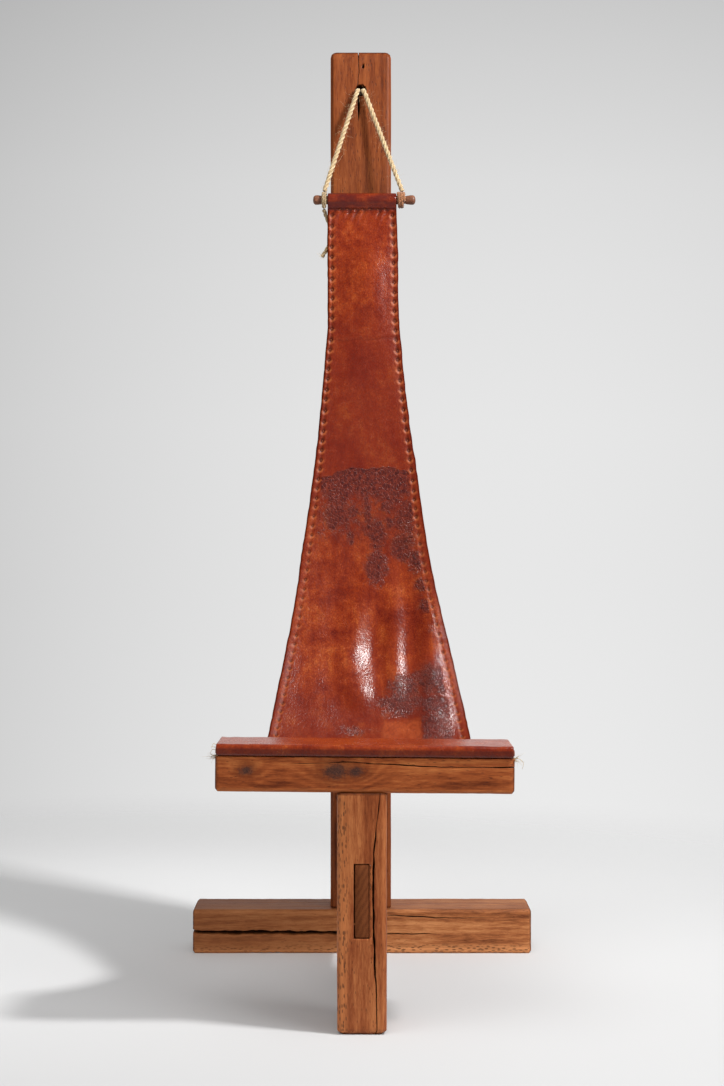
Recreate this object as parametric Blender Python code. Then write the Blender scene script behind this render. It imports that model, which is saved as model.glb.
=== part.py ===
"""Sling lounge chair: a leather sling hung from a tall hardwood post by a rope and a toggle rod.

Metres, +Z up, +X to the sitter's left as seen from the front, +Y towards the back.
The origin is the centre of the footprint, on the floor. Run with: blender --background --python part.py
"""
import math

import bpy
import bmesh
from mathutils import Vector

GAP = 0.0003                      # between pieces that touch

# Timber: every member is sawn from stock about 70 mm thick and 105 mm wide.
STOCK_THIN = 0.070
STOCK_WIDE = 0.105
CHAMFER = 0.005

OVERALL_DEPTH = 0.655             # front of the leather to the back of the rear crossbeam
HIDE = 0.0028                     # thickness of the sling's leather
FRONT_Y = -OVERALL_DEPTH / 2 + HIDE + GAP   # front faces of the leg and of the seat beam
BACK_Y = OVERALL_DEPTH / 2

CROSSBEAM_LENGTH = 0.568
CROSSBEAM_HEIGHT = 0.0735
POST_WIDTH = 0.102
POST_TOP = 1.517
POST_X = -0.002
POST_FRONT_Y = FRONT_Y + 0.561
LEG_HEIGHT = 0.338
BEAM_LENGTH = 0.420
BEAM_HEIGHT = 0.064
BEAM_X = 0.004
BEAM_ROLL = math.radians(0.55)    # the seat beam sits very slightly low on its +X side
STRETCHER_HEIGHT = 0.103
STRETCHER_BOTTOM = 0.1355
TENON_THIN = 0.020
PEG_RADIUS = 0.005

# Slot in the seat beam's front face that locks the front hem of the sling round a cord.
KERF_DROP = 0.0125                # from the beam's top to the middle of the slot
KERF_HEIGHT = 0.0042
KEYWAY_RADIUS = 0.0066
KEYWAY_DEPTH = 0.0165
HEM_CORD_RADIUS = 0.0026
HEM_ENTRY = KERF_HEIGHT / 2 - GAP - HIDE / 2     # the hide's middle line above the slot's
HEM_TURN = HEM_CORD_RADIUS + GAP + HIDE / 2      # radius of the hide's turn round the cord
KEYWAY_DROP = KERF_DROP - HEM_ENTRY + HEM_TURN

# Rope, toggle rod and the hole that the rope passes through.
ROPE_RADIUS = 0.004
ROPE_HOLE_RADIUS = 0.0092
ROPE_HOLE_Z = 1.4525
TOGGLE_RADIUS = 0.008
TOGGLE_LENGTH = 0.1705
TOGGLE_X = 0.0038
TOGGLE_Y = FRONT_Y + 0.520
TOGGLE_Z = 1.260
WRAP_LEFT_X = -0.0635
WRAP_RIGHT_X = 0.0650

# Sling: widths at its driving stations, from the top sleeve down to the seat beam.
SLING_TOP_WIDTH = 0.114
SLING_NECK_WIDTH = 0.120
SLING_SEAT_WIDTH = 0.322
SLING_BEAM_WIDTH = 0.417
SEAT_CUP = 0.014                  # how far the middle of the seat sinks below its edges
COLUMNS = 8


def clear_scene():
    for thing in list(bpy.data.objects):
        bpy.data.objects.remove(thing, do_unlink=True)


# ---------------------------------------------------------------- materials

def material(name, colour, roughness, metallic=0.0):
    """A plain Principled material; each is made once and shared."""
    found = bpy.data.materials.get(name)
    if found:
        return found
    made = bpy.data.materials.new(name)
    made.use_nodes = True
    shader = made.node_tree.nodes["Principled BSDF"]
    shader.inputs["Base Color"].default_value = (*colour, 1.0)
    shader.inputs["Roughness"].default_value = roughness
    shader.inputs["Metallic"].default_value = metallic
    made.diffuse_color = (*colour, 1.0)
    return made


def post_wood():
    return material("post_wood", (0.290, 0.105, 0.045), 0.50)


def pale_wood():
    return material("pale_wood", (0.360, 0.150, 0.060), 0.55)


def peg_wood():
    return material("peg_wood", (0.190, 0.085, 0.042), 0.60)


def rod_wood():
    return material("rod_wood", (0.270, 0.100, 0.050), 0.45)


def leather():
    return material("leather", (0.330, 0.060, 0.020), 0.32)


def thread():
    return material("thread", (0.120, 0.030, 0.018), 0.70)


def sisal():
    return material("sisal", (0.680, 0.510, 0.300), 0.90)


# ---------------------------------------------------------------- shape helpers

def add_object(name, mesh, surface):
    thing = bpy.data.objects.new(name, mesh)
    bpy.context.collection.objects.link(thing)
    if surface:
        mesh.materials.append(surface)
    return thing


def finish_mesh(name, bm, smooth_angle=None):
    bmesh.ops.recalc_face_normals(bm, faces=bm.faces)
    mesh = bpy.data.meshes.new(name)
    bm.to_mesh(mesh)
    bm.free()
    if smooth_angle is not None:
        mesh.shade_smooth()
        mesh.set_sharp_from_angle(angle=math.radians(smooth_angle))
    return mesh


def box(name, size, centre, surface=None, long_axis=None, chamfered_ends=()):
    """A box about its own centre. With a long_axis (0 to 2) its long edges are chamfered, and so
    are the edges round each end named in chamfered_ends, which holds -1, 1 or both."""
    bm = bmesh.new()
    bmesh.ops.create_cube(bm, size=1.0)
    bmesh.ops.scale(bm, vec=size, verts=bm.verts)
    if long_axis is not None:
        half = size[long_axis] / 2
        chosen = []
        for edge in bm.edges:
            start, end = (vert.co[long_axis] for vert in edge.verts)
            runs_along = abs(start - end) > half
            at_end = [side for side in chamfered_ends
                      if abs(start - side * half) < 1e-6 and abs(end - side * half) < 1e-6]
            if runs_along or at_end:
                chosen.append(edge)
        bmesh.ops.bevel(bm, geom=chosen, offset=CHAMFER, offset_type="OFFSET", segments=1,
                        profile=0.5, affect="EDGES")
    thing = add_object(name, finish_mesh(name, bm), surface)
    thing.location = centre
    return thing


def turned(name, profile, axis, centre, surface=None, sides=24):
    """A solid turned about axis ("X" or "Y") through centre. profile lists (distance along the
    axis, radius) from one end to the other; an end radius of 0 closes to a point."""
    bm = bmesh.new()
    rings = []
    for along, radius in profile:
        if radius < 1e-7:
            rings.append([bm.verts.new((along, 0.0, 0.0))])
            continue
        ring = []
        for side in range(sides):
            angle = 2 * math.pi * side / sides
            ring.append(bm.verts.new((along, radius * math.cos(angle), radius * math.sin(angle))))
        rings.append(ring)
    for first, second in zip(rings, rings[1:]):
        for side in range(sides):
            after = (side + 1) % sides
            corners = [first[side % len(first)], first[after % len(first)],
                       second[after % len(second)], second[side % len(second)]]
            bm.faces.new(list(dict.fromkeys(corners)))
    for ring in (rings[0], rings[-1]):
        if len(ring) > 1:
            bm.faces.new(ring)
    thing = add_object(name, finish_mesh(name, bm, 40), surface)
    if axis == "Y":
        thing.rotation_euler = (0, 0, math.radians(90))
    thing.location = centre
    return thing


def turned_ring(name, section, centre, surface, sides=24):
    """A ring about the X axis: section is a closed outline of (distance along X, radius)."""
    bm = bmesh.new()
    rows = []
    for side in range(sides):
        angle = 2 * math.pi * side / sides
        rows.append([bm.verts.new((along, radius * math.cos(angle), radius * math.sin(angle)))
                     for along, radius in section])
    count = len(section)
    for side in range(sides):
        row = rows[side]
        following = rows[(side + 1) % sides]
        for index in range(count):
            after = (index + 1) % count
            bm.faces.new((row[index], row[after], following[after], following[index]))
    thing = add_object(name, finish_mesh(name, bm, 50), surface)
    thing.location = centre
    return thing


def helper(thing):
    """Marks an object that only cuts or joins others."""
    thing.hide_render = True
    thing.display_type = "WIRE"
    return thing


def combine(target, operand, operation):
    modifier = target.modifiers.new(operation.lower(), "BOOLEAN")
    modifier.operation = operation
    modifier.object = helper(operand)
    modifier.solver = "EXACT"


def peg_profile(length, radius):
    ease = 0.0012
    half = length / 2
    return [(-half, radius - ease), (-half + ease, radius), (half - ease, radius), (half, radius - ease)]


def between(first, second, start, end, moment):
    return first + (second - first) * ((moment - start) / (end - start))


def smooth_curve(points, samples):
    """Points on a centripetal Catmull-Rom curve through the guide points, samples to each span."""
    guides = [Vector(point) for point in points]
    guides = [2 * guides[0] - guides[1]] + guides + [2 * guides[-1] - guides[-2]]
    made = []
    for index in range(1, len(guides) - 2):
        p0, p1, p2, p3 = guides[index - 1:index + 3]
        t1 = (p1 - p0).length ** 0.5
        t2 = t1 + (p2 - p1).length ** 0.5
        t3 = t2 + (p3 - p2).length ** 0.5
        is_last = index == len(guides) - 3
        for step in range(samples + is_last):
            t = t1 + (t2 - t1) * step / samples
            a1 = between(p0, p1, 0, t1, t)
            a2 = between(p1, p2, t1, t2, t)
            a3 = between(p2, p3, t2, t3, t)
            b1 = between(a1, a2, 0, t2, t)
            b2 = between(a2, a3, t1, t3, t)
            made.append(between(b1, b2, t1, t2, t))
    return made


def tube(name, guides, radius, surface, samples=6, resolution=2):
    """A rope: a round tube on a smooth curve through the guide points, with closed ends."""
    points = smooth_curve(guides, samples)
    curve = bpy.data.curves.new(name, "CURVE")
    curve.dimensions = "3D"
    curve.bevel_depth = radius
    curve.bevel_resolution = resolution
    curve.use_fill_caps = True
    spline = curve.splines.new("POLY")
    spline.points.add(len(points) - 1)
    for point, place in zip(spline.points, points):
        point.co = (*place, 1.0)
    return add_object(name, curve, surface)


# ---------------------------------------------------------------- timber frame

def peg_hole(timber, axis, centre, length):
    size = PEG_RADIUS + GAP
    bore = turned(timber.name + "_peg_bore", [(-length / 2, size), (length / 2, size)], axis, centre)
    combine(timber, bore, "DIFFERENCE")


def build_crossbeam():
    centre = (0.0, BACK_Y - STOCK_WIDE / 2, CROSSBEAM_HEIGHT / 2)
    size = (CROSSBEAM_LENGTH, STOCK_WIDE, CROSSBEAM_HEIGHT)
    return box("rear_crossbeam", size, centre, pale_wood(), 0, (-1, 1))


def build_post():
    bottom = CROSSBEAM_HEIGHT + GAP
    size = (POST_WIDTH, STOCK_THIN, POST_TOP - bottom)
    centre = (POST_X, POST_FRONT_Y + STOCK_THIN / 2, (POST_TOP + bottom) / 2)
    post = box("rear_post", size, centre, post_wood(), 2, (1,))
    hole = turned("rope_bore", [(-0.06, ROPE_HOLE_RADIUS), (0.06, ROPE_HOLE_RADIUS)], "Y",
                  (POST_X, centre[1], ROPE_HOLE_Z))
    combine(post, hole, "DIFFERENCE")
    return post


def build_leg():
    size = (STOCK_THIN, STOCK_WIDE, LEG_HEIGHT)
    centre = (0.0, FRONT_Y + STOCK_WIDE / 2, LEG_HEIGHT / 2)
    return box("front_leg", size, centre, pale_wood(), 2, (-1,))


def beam_centre():
    clearance = GAP + STOCK_THIN / 2 * math.tan(BEAM_ROLL) + BEAM_X * math.tan(BEAM_ROLL)
    return Vector((BEAM_X, FRONT_Y + STOCK_WIDE / 2, LEG_HEIGHT + clearance + BEAM_HEIGHT / 2))


def beam_drop(x):
    """How much lower the rolled seat beam lies at x than at its middle."""
    return (x - BEAM_X) * math.tan(BEAM_ROLL)


def build_seat_beam():
    size = (BEAM_LENGTH, STOCK_WIDE, BEAM_HEIGHT)
    centre = beam_centre()
    beam = box("seat_beam", size, centre, pale_wood(), 0, (-1, 1))
    beam.rotation_euler = (0, BEAM_ROLL, 0)
    slot_y = -STOCK_WIDE / 2 + KEYWAY_DEPTH
    kerf = box("hem_kerf", (BEAM_LENGTH + 0.02, 2 * KEYWAY_DEPTH, KERF_HEIGHT),
               (0, slot_y - KEYWAY_DEPTH, BEAM_HEIGHT / 2 - KERF_DROP))
    half = BEAM_LENGTH / 2 + 0.01
    keyway = turned("hem_keyway", [(-half, KEYWAY_RADIUS), (half, KEYWAY_RADIUS)], "X",
                    (0, slot_y, BEAM_HEIGHT / 2 - KEYWAY_DROP), sides=20)
    for cutter in (kerf, keyway):
        cutter.parent = beam
        combine(beam, cutter, "DIFFERENCE")
    return beam


def build_stretcher():
    """The rail between leg and post, with a full-height tenon right through each of them."""
    start = FRONT_Y + STOCK_WIDE + GAP
    end = POST_FRONT_Y - GAP
    middle_z = STRETCHER_BOTTOM + STRETCHER_HEIGHT / 2
    size = (STOCK_THIN, end - start, STRETCHER_HEIGHT)
    rail = box("stretcher", size, (0, (start + end) / 2, middle_z), pale_wood(), 1)
    tip_front = FRONT_Y
    tip_back = POST_FRONT_Y + STOCK_THIN
    tongue = box("stretcher_tenons", (TENON_THIN, tip_back - tip_front, STRETCHER_HEIGHT),
                 (0, (tip_front + tip_back) / 2, middle_z))
    combine(rail, tongue, "UNION")
    return rail


def join_post_to_crossbeam(post, crossbeam):
    width, depth, height = 0.062, 0.030, 0.045
    place = Vector((POST_X, POST_FRONT_Y + STOCK_THIN / 2, CROSSBEAM_HEIGHT - height / 2))
    tenon = box("post_tenon", (width, depth, height), place + Vector((0, 0, 0.005)))
    combine(post, tenon, "UNION")
    mortise = box("post_mortise", (width + 4 * GAP, depth + 4 * GAP, height + 0.012),
                  place + Vector((0, 0, 0.006)))
    combine(crossbeam, mortise, "DIFFERENCE")
    peg_place = Vector((POST_X, BACK_Y - STOCK_WIDE / 2, CROSSBEAM_HEIGHT - 0.024))
    for timber in (post, crossbeam):
        peg_hole(timber, "Y", peg_place, STOCK_WIDE + 0.02)
    turned("post_peg", peg_profile(STOCK_WIDE, PEG_RADIUS), "Y", peg_place, peg_wood(), 16)


def join_leg_to_beam(leg, beam):
    width, depth, height = 0.042, 0.040, 0.040
    centre_y = FRONT_Y + STOCK_WIDE / 2 + 0.006
    place = Vector((0, centre_y, LEG_HEIGHT + height / 2))
    tenon = box("leg_tenon", (width, depth, height + 0.010), place - Vector((0, 0, 0.005)))
    combine(leg, tenon, "UNION")
    mortise = box("leg_mortise", (width + 0.0014, depth + 4 * GAP, height + 0.012),
                  place - Vector((0, 0, 0.004)))
    combine(beam, mortise, "DIFFERENCE")
    length = 0.078                # blind: it stops short of the beam's front face
    peg_place = Vector((0, FRONT_Y + STOCK_WIDE - length / 2, LEG_HEIGHT + 0.022))
    for timber in (leg, beam):
        peg_hole(timber, "Y", peg_place + Vector((0, 0.004, 0)), length + 0.010)
    turned("seat_beam_peg", peg_profile(length, PEG_RADIUS), "Y", peg_place, peg_wood(), 16)


def join_stretcher(stretcher, leg, post):
    middle_z = STRETCHER_BOTTOM + STRETCHER_HEIGHT / 2
    places = {"front": (leg, FRONT_Y + STOCK_WIDE / 2, STOCK_WIDE, 0.0, STOCK_THIN),
              "rear": (post, POST_FRONT_Y + STOCK_THIN / 2, STOCK_THIN, POST_X, POST_WIDTH)}
    for end, (timber, y, depth, x, width) in places.items():
        mortise = box(end + "_mortise", (TENON_THIN + 4 * GAP, depth + 0.02, STRETCHER_HEIGHT + 4 * GAP),
                      (0, y, middle_z))
        combine(timber, mortise, "DIFFERENCE")
        for level, rise in (("lower", -0.027), ("upper", 0.027)):
            peg_place = Vector((x, y, middle_z + rise))
            for wood in (timber, stretcher):
                peg_hole(wood, "X", peg_place, width + 0.02)
            name = "stretcher_peg_" + end + "_" + level
            turned(name, peg_profile(width, PEG_RADIUS), "X", peg_place, peg_wood(), 16)


# ---------------------------------------------------------------- sling

def arc(centre, radius, start, end, steps):
    """Points of an arc in the YZ plane; angles in degrees, 0 along +Y, 90 up."""
    made = []
    for step in range(steps + 1):
        angle = math.radians(start + (end - start) * step / steps)
        made.append(Vector((centre[0] + radius * math.cos(angle), centre[1] + radius * math.sin(angle))))
    return made


def sling_path():
    """The hide's middle line in the YZ plane, from the sleeve's folded flap, over the toggle rod,
    down the back and across the seat, over the beam and round the cord in its keyway."""
    toggle = (TOGGLE_Y, TOGGLE_Z)
    round_toggle = TOGGLE_RADIUS + 2 * GAP + HIDE / 2
    flap = [Vector((TOGGLE_Y + 0.0030, TOGGLE_Z - 0.036)), Vector((TOGGLE_Y + 0.0032, TOGGLE_Z - 0.020))]
    sleeve = arc(toggle, round_toggle, -38, 218, 16)
    front_x = TOGGLE_Y - 0.0014

    top = beam_centre().z + BEAM_HEIGHT / 2 + GAP + HIDE / 2
    beam_back = FRONT_Y + STOCK_WIDE
    drape = [(front_x, TOGGLE_Z - 0.021), (FRONT_Y + 0.5170, TOGGLE_Z - 0.040),
             (FRONT_Y + 0.5090, 1.130), (FRONT_Y + 0.4970, 1.000), (FRONT_Y + 0.4750, 0.800),
             (FRONT_Y + 0.4460, 0.615), (FRONT_Y + 0.4060, 0.505), (FRONT_Y + 0.3000, 0.372),
             (FRONT_Y + 0.2350, 0.334), (FRONT_Y + 0.1760, 0.346), (beam_back + 0.0260, top - 0.0170),
             (beam_back + 0.0030, top - 0.0022), (beam_back - 0.0042, top)]
    body = smooth_curve([Vector((0, *point)) for point in drape], 7)
    body = [Vector((point.y, point.z)) for point in body]

    turn = 0.0045                 # how tightly the hide turns over the beam's front top edge
    over = [Vector((FRONT_Y + 0.060, top)), Vector((FRONT_Y + 0.030, top))]
    over += arc((FRONT_Y - GAP - HIDE / 2 + turn, top - turn), turn, 90, 180, 4)
    enter = beam_centre().z + BEAM_HEIGHT / 2 - KERF_DROP + HEM_ENTRY
    over += arc((FRONT_Y - GAP - HIDE / 2 + 0.0022, enter + 0.0022), 0.0022, 180, 270, 3)
    hem = arc((FRONT_Y + KEYWAY_DEPTH, enter - HEM_TURN), HEM_TURN, 90, -175, 12)
    over.append(Vector((FRONT_Y + KEYWAY_DEPTH / 2, enter)))
    return flap + sleeve + body + over + hem


def sling_half_width(point):
    """Half the hide's width where its middle line passes point, by its place in the side view."""
    y, z = point
    beam_back = FRONT_Y + STOCK_WIDE
    seat_y = FRONT_Y + 0.300
    if y < seat_y and z < 0.60:
        share = min(1.0, max(0.0, (seat_y - y) / (seat_y - beam_back)))
        return (SLING_SEAT_WIDTH + (SLING_BEAM_WIDTH - SLING_SEAT_WIDTH) * share) / 2
    stations = ((TOGGLE_Z, SLING_TOP_WIDTH), (1.09, 0.1175), (1.04, SLING_NECK_WIDTH),
                (0.953, 0.136), (0.804, 0.1706), (0.596, 0.2330), (0.516, 0.2647), (0.438, 0.297),
                (0.372, SLING_SEAT_WIDTH))
    if z >= stations[0][0]:
        return SLING_TOP_WIDTH / 2
    for (high, wide), (low, wider) in zip(stations, stations[1:]):
        if z >= low:
            share = (high - z) / (high - low)
            return (wide + (wider - wide) * share) / 2
    return SLING_SEAT_WIDTH / 2


def sling_frames():
    """Each station of the hide: middle point, facing direction, half width, cup and roll share."""
    path = sling_path()
    frames = []
    beam_back = FRONT_Y + STOCK_WIDE
    for index, point in enumerate(path):
        before = path[max(index - 1, 0)]
        after = path[min(index + 1, len(path) - 1)]
        along = (after - before).normalized()
        facing = Vector((along.y, -along.x))
        y, z = point
        roll = min(1.0, max(0.0, 1 - (y - beam_back) / 0.16)) if z < 0.60 else 0.0
        rise = min(1.0, max(0.0, (1.00 - z) / 0.45)) if z > 0.40 else 1.0
        ahead = min(1.0, max(0.0, (y - beam_back - 0.01) / 0.12))
        cup = SEAT_CUP * rise * ahead
        frames.append((point, facing, sling_half_width(point), cup, roll))
    return frames


def on_sling(frame, across, lift):
    """A point on the hide: across runs from -1 to 1 over its width, and lift is its height
    above the middle of the hide, on the sitter's side."""
    point, facing, half, cup, roll = frame
    x = BEAM_X * roll + across * half
    sunk = lift - cup * (1 - across * across)
    y = point.x + facing.x * sunk
    z = point.y + facing.y * sunk - roll * beam_drop(x)
    return (x, y, z)


def build_sling():
    frames = sling_frames()
    bm = bmesh.new()
    sheets = []
    for lift in (HIDE / 2, -HIDE / 2):
        sheets.append([[bm.verts.new(on_sling(frame, 2 * column / COLUMNS - 1, lift))
                        for column in range(COLUMNS + 1)] for frame in frames])
    last = len(frames) - 1
    for row in range(last):
        for column in range(COLUMNS):
            for sheet in sheets:
                bm.faces.new((sheet[row][column], sheet[row][column + 1],
                              sheet[row + 1][column + 1], sheet[row + 1][column]))
        for column in (0, COLUMNS):
            bm.faces.new((sheets[0][row][column], sheets[0][row + 1][column],
                          sheets[1][row + 1][column], sheets[1][row][column]))
    for row in (0, last):
        for column in range(COLUMNS):
            bm.faces.new((sheets[0][row][column], sheets[0][row][column + 1],
                          sheets[1][row][column + 1], sheets[1][row][column]))
    return add_object("sling", finish_mesh("sling", bm, 35), leather())


def build_edge_lacing(name, side):
    """The lacing that binds one folded edge, as a thin strip just above the hide."""
    width, thickness, inset = 0.0022, 0.0012, 0.0075
    lift = HIDE / 2 + 2 * GAP
    seat_front = FRONT_Y + STOCK_WIDE + 0.015
    frames = [frame for frame in sling_frames()
              if frame[0].y < TOGGLE_Z - 0.024 and frame[0].x > seat_front][1:]
    bm = bmesh.new()
    rows = []
    for frame in frames:
        half = frame[2]
        near = side * (1 - inset / half)
        far = side * (1 - (inset + width) / half)
        rows.append([bm.verts.new(on_sling(frame, across, height)) for across, height in
                     ((near, lift), (far, lift), (far, lift + thickness), (near, lift + thickness))])
    for first, second in zip(rows, rows[1:]):
        for corner in range(4):
            after = (corner + 1) % 4
            bm.faces.new((first[corner], first[after], second[after], second[corner]))
    bm.faces.new(rows[0])
    bm.faces.new(rows[-1])
    add_object(name, finish_mesh(name, bm), thread())


def build_sleeve_stitching():
    """The seam that closes the sleeve under the toggle rod."""
    size = (SLING_TOP_WIDTH - 0.012, 0.0012, 0.0022)
    y = TOGGLE_Y - 0.0014 - HIDE / 2 - 0.0022 - size[1] / 2
    box("sleeve_stitching", size, (0, y, TOGGLE_Z - 0.0185), thread())


def build_hem_cord():
    centre = beam_centre()
    length = BEAM_LENGTH + 0.006
    local = Vector((0, -STOCK_WIDE / 2 + KEYWAY_DEPTH, BEAM_HEIGHT / 2 - KEYWAY_DROP))
    cord = turned("hem_cord", peg_profile(length, HEM_CORD_RADIUS), "X", centre + local, sisal(), 12)
    cord.rotation_euler = (0, BEAM_ROLL, 0)


# ---------------------------------------------------------------- rope and toggle

def build_toggle():
    """A whittled rod with rounded ends and a shallow neck where the rope is tied at each end."""
    half = TOGGLE_LENGTH / 2
    neck = 0.0012
    profile = [(-half, 0.0)]
    for step in range(1, 6):
        angle = math.radians(90 * step / 5)
        profile.append((-half + 0.005 * (1 - math.cos(angle)), TOGGLE_RADIUS * math.sin(angle) ** 0.7))
    for middle in (WRAP_LEFT_X - TOGGLE_X, WRAP_RIGHT_X - TOGGLE_X):
        profile += [(middle - 0.009, TOGGLE_RADIUS), (middle - 0.004, TOGGLE_RADIUS - neck),
                    (middle + 0.004, TOGGLE_RADIUS - neck), (middle + 0.009, TOGGLE_RADIUS)]
    for step in range(5, 0, -1):
        angle = math.radians(90 * step / 5)
        profile.append((half - 0.005 * (1 - math.cos(angle)), TOGGLE_RADIUS * math.sin(angle) ** 0.7))
    profile.append((half, 0.0))
    turned("toggle_rod", profile, "X", (TOGGLE_X, TOGGLE_Y, TOGGLE_Z), rod_wood())


def wrap_section(turns, thickness):
    """Outline of a few rope turns side by side round the rod: flat inside, lobed outside."""
    inner = TOGGLE_RADIUS + GAP
    width = turns * thickness
    outline = [(-width / 2, inner), (width / 2, inner)]
    for turn in reversed(range(turns)):
        middle = -width / 2 + thickness * (turn + 0.5)
        for angle in (20, 60, 100, 140, 160):
            along = middle + thickness / 2 * math.cos(math.radians(angle))
            outline.append((along, inner + thickness * (0.5 + 0.5 * math.sin(math.radians(angle)))))
    return outline


def build_rope():
    top = Vector((POST_X, POST_FRONT_Y, ROPE_HOLE_Z))
    wrap_height = 0.0058
    turned_ring("rope_wrap_left", wrap_section(1, wrap_height),
                (WRAP_LEFT_X, TOGGLE_Y, TOGGLE_Z), sisal())
    turned_ring("rope_wrap_right", wrap_section(2, wrap_height),
                (WRAP_RIGHT_X, TOGGLE_Y, TOGGLE_Z), sisal())
    landing = TOGGLE_Z + TOGGLE_RADIUS + wrap_height + 4 * GAP
    for name, side, end_x in (("rope_strand_left", -1, WRAP_LEFT_X + 0.001),
                              ("rope_strand_right", 1, WRAP_RIGHT_X + 0.002)):
        start = top + Vector((side * 0.0042, 0.0030, 0.0))
        bend = top + Vector((side * 0.0062, -0.0060, -0.0050))
        foot = Vector((end_x, TOGGLE_Y, landing))
        guides = [start, bend]
        for share in (0.15, 0.4, 0.7):
            guides.append(bend.lerp(foot, share))
        guides.append(foot)
        tube(name, guides, ROPE_RADIUS, sisal(), samples=5)

    tail_top = TOGGLE_Z - TOGGLE_RADIUS - wrap_height - 7 * GAP
    tail = [(WRAP_LEFT_X, TOGGLE_Y + 0.0020, tail_top), (WRAP_LEFT_X + 0.003, TOGGLE_Y + 0.0095, 1.236),
            (WRAP_LEFT_X + 0.010, TOGGLE_Y + 0.0120, 1.217), (WRAP_LEFT_X + 0.012, TOGGLE_Y + 0.0105, 1.198),
            (WRAP_LEFT_X + 0.006, TOGGLE_Y + 0.0060, 1.181), (WRAP_LEFT_X - 0.003, TOGGLE_Y + 0.0035, 1.166)]
    tube("rope_tail", tail, ROPE_RADIUS * 0.85, sisal(), samples=4)

    stem = ROPE_HOLE_RADIUS - GAP
    depth = STOCK_THIN
    ball = 0.0150
    knot = [(0.0078, stem), (depth + GAP, stem), (depth + GAP, ball * 0.75), (depth + 0.004, ball),
            (depth + 0.010, ball), (depth + 0.015, ball * 0.8), (depth + 0.0185, ball * 0.35),
            (depth + 0.019, 0.0)]
    turned("rope_knot", knot, "Y", top, sisal(), 20)


def build():
    clear_scene()
    crossbeam = build_crossbeam()
    post = build_post()
    leg = build_leg()
    beam = build_seat_beam()
    stretcher = build_stretcher()
    join_post_to_crossbeam(post, crossbeam)
    join_leg_to_beam(leg, beam)
    join_stretcher(stretcher, leg, post)
    build_sling()
    build_edge_lacing("edge_lacing_left", -1)
    build_edge_lacing("edge_lacing_right", 1)
    build_sleeve_stitching()
    build_hem_cord()
    build_toggle()
    build_rope()


build()
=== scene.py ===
"""Looks of the sling lounge chair: timber with checks and knots, a glossy worn hide, laid sisal rope.

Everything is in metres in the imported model's frame: +X right as seen from the front, +Y back, +Z up.
"""
import math
from functools import cache

import bpy
import bmesh
import numpy as np
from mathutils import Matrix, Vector


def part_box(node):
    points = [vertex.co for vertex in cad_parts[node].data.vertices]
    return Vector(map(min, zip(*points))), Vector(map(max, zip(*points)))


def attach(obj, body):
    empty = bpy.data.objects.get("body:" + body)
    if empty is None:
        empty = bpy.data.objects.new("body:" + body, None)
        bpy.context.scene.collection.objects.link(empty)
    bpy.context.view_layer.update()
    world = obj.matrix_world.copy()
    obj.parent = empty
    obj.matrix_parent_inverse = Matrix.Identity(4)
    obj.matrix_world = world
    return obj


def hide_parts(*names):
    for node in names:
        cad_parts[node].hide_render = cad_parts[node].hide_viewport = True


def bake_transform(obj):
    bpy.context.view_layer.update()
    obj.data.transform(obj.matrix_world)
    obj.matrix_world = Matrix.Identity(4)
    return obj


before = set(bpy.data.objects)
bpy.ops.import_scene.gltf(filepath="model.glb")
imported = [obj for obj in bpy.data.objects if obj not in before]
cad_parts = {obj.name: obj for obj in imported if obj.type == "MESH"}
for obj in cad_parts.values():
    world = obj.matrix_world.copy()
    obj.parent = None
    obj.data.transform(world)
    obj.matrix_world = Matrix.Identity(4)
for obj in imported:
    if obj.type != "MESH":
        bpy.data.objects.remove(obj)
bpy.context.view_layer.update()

# ---------------------------------------------------------------- driving sizes, read from the frame
CROSSBEAM, POST, LEG, BEAM, STRETCHER, TOGGLE = (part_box(node) for node in (
    "rear_crossbeam", "rear_post", "front_leg", "seat_beam", "stretcher", "toggle_rod"))
GAP = 0.0003                      # clearance between pieces that touch

FRONT_Y = LEG[0][1]
STOCK_WIDE = LEG[1][1] - LEG[0][1]
POST_X = (POST[0][0] + POST[1][0]) / 2
POST_FRONT_Y = POST[0][1]
POST_BACK_Y = POST[1][1]
POST_TOP = POST[1][2]
LEG_HEIGHT = 0.338
BEAM_ROLL = math.radians(0.55)
BEAM_LENGTH = 0.420
BEAM_HEIGHT = 0.064
BEAM_CENTRE = Vector(BEAM[0]).lerp(Vector(BEAM[1]), 0.5)
BEAM_TOP = BEAM_CENTRE.z + BEAM_HEIGHT / 2
BEAM_BACK = FRONT_Y + STOCK_WIDE
TENON_Z = (STRETCHER[0][2] + STRETCHER[1][2]) / 2
TENON_HALF = (STRETCHER[1][2] - STRETCHER[0][2]) / 2
TOGGLE_RADIUS = (TOGGLE[1][2] - TOGGLE[0][2]) / 2
TOGGLE_CENTRE = Vector(TOGGLE[0]).lerp(Vector(TOGGLE[1]), 0.5)
ROPE_HOLE = Vector((POST_X, POST_FRONT_Y, 1.4525))
ROPE_HOLE_RADIUS = 0.0092
ROPE_RADIUS = 0.004
ROPE_STRANDS = 3
HIDE = 0.0028                     # thickness of the leather
WRAP_LEFT_X = -0.0635
WRAP_RIGHT_X = 0.0650

# Slot in the seat beam that holds the front hem of the hide round a cord.
KERF_DROP = 0.0125
KERF_HEIGHT = 0.0042
KEYWAY_RADIUS = 0.0066
KEYWAY_DEPTH = 0.0165
HEM_CORD_RADIUS = 0.0026
HEM_ENTRY = KERF_HEIGHT / 2 - GAP - HIDE / 2
HEM_TURN = HEM_CORD_RADIUS + GAP + HIDE / 2
KEYWAY_DROP = KERF_DROP - HEM_ENTRY + HEM_TURN


# ---------------------------------------------------------------- numbers: noise, curves, easing

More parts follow.
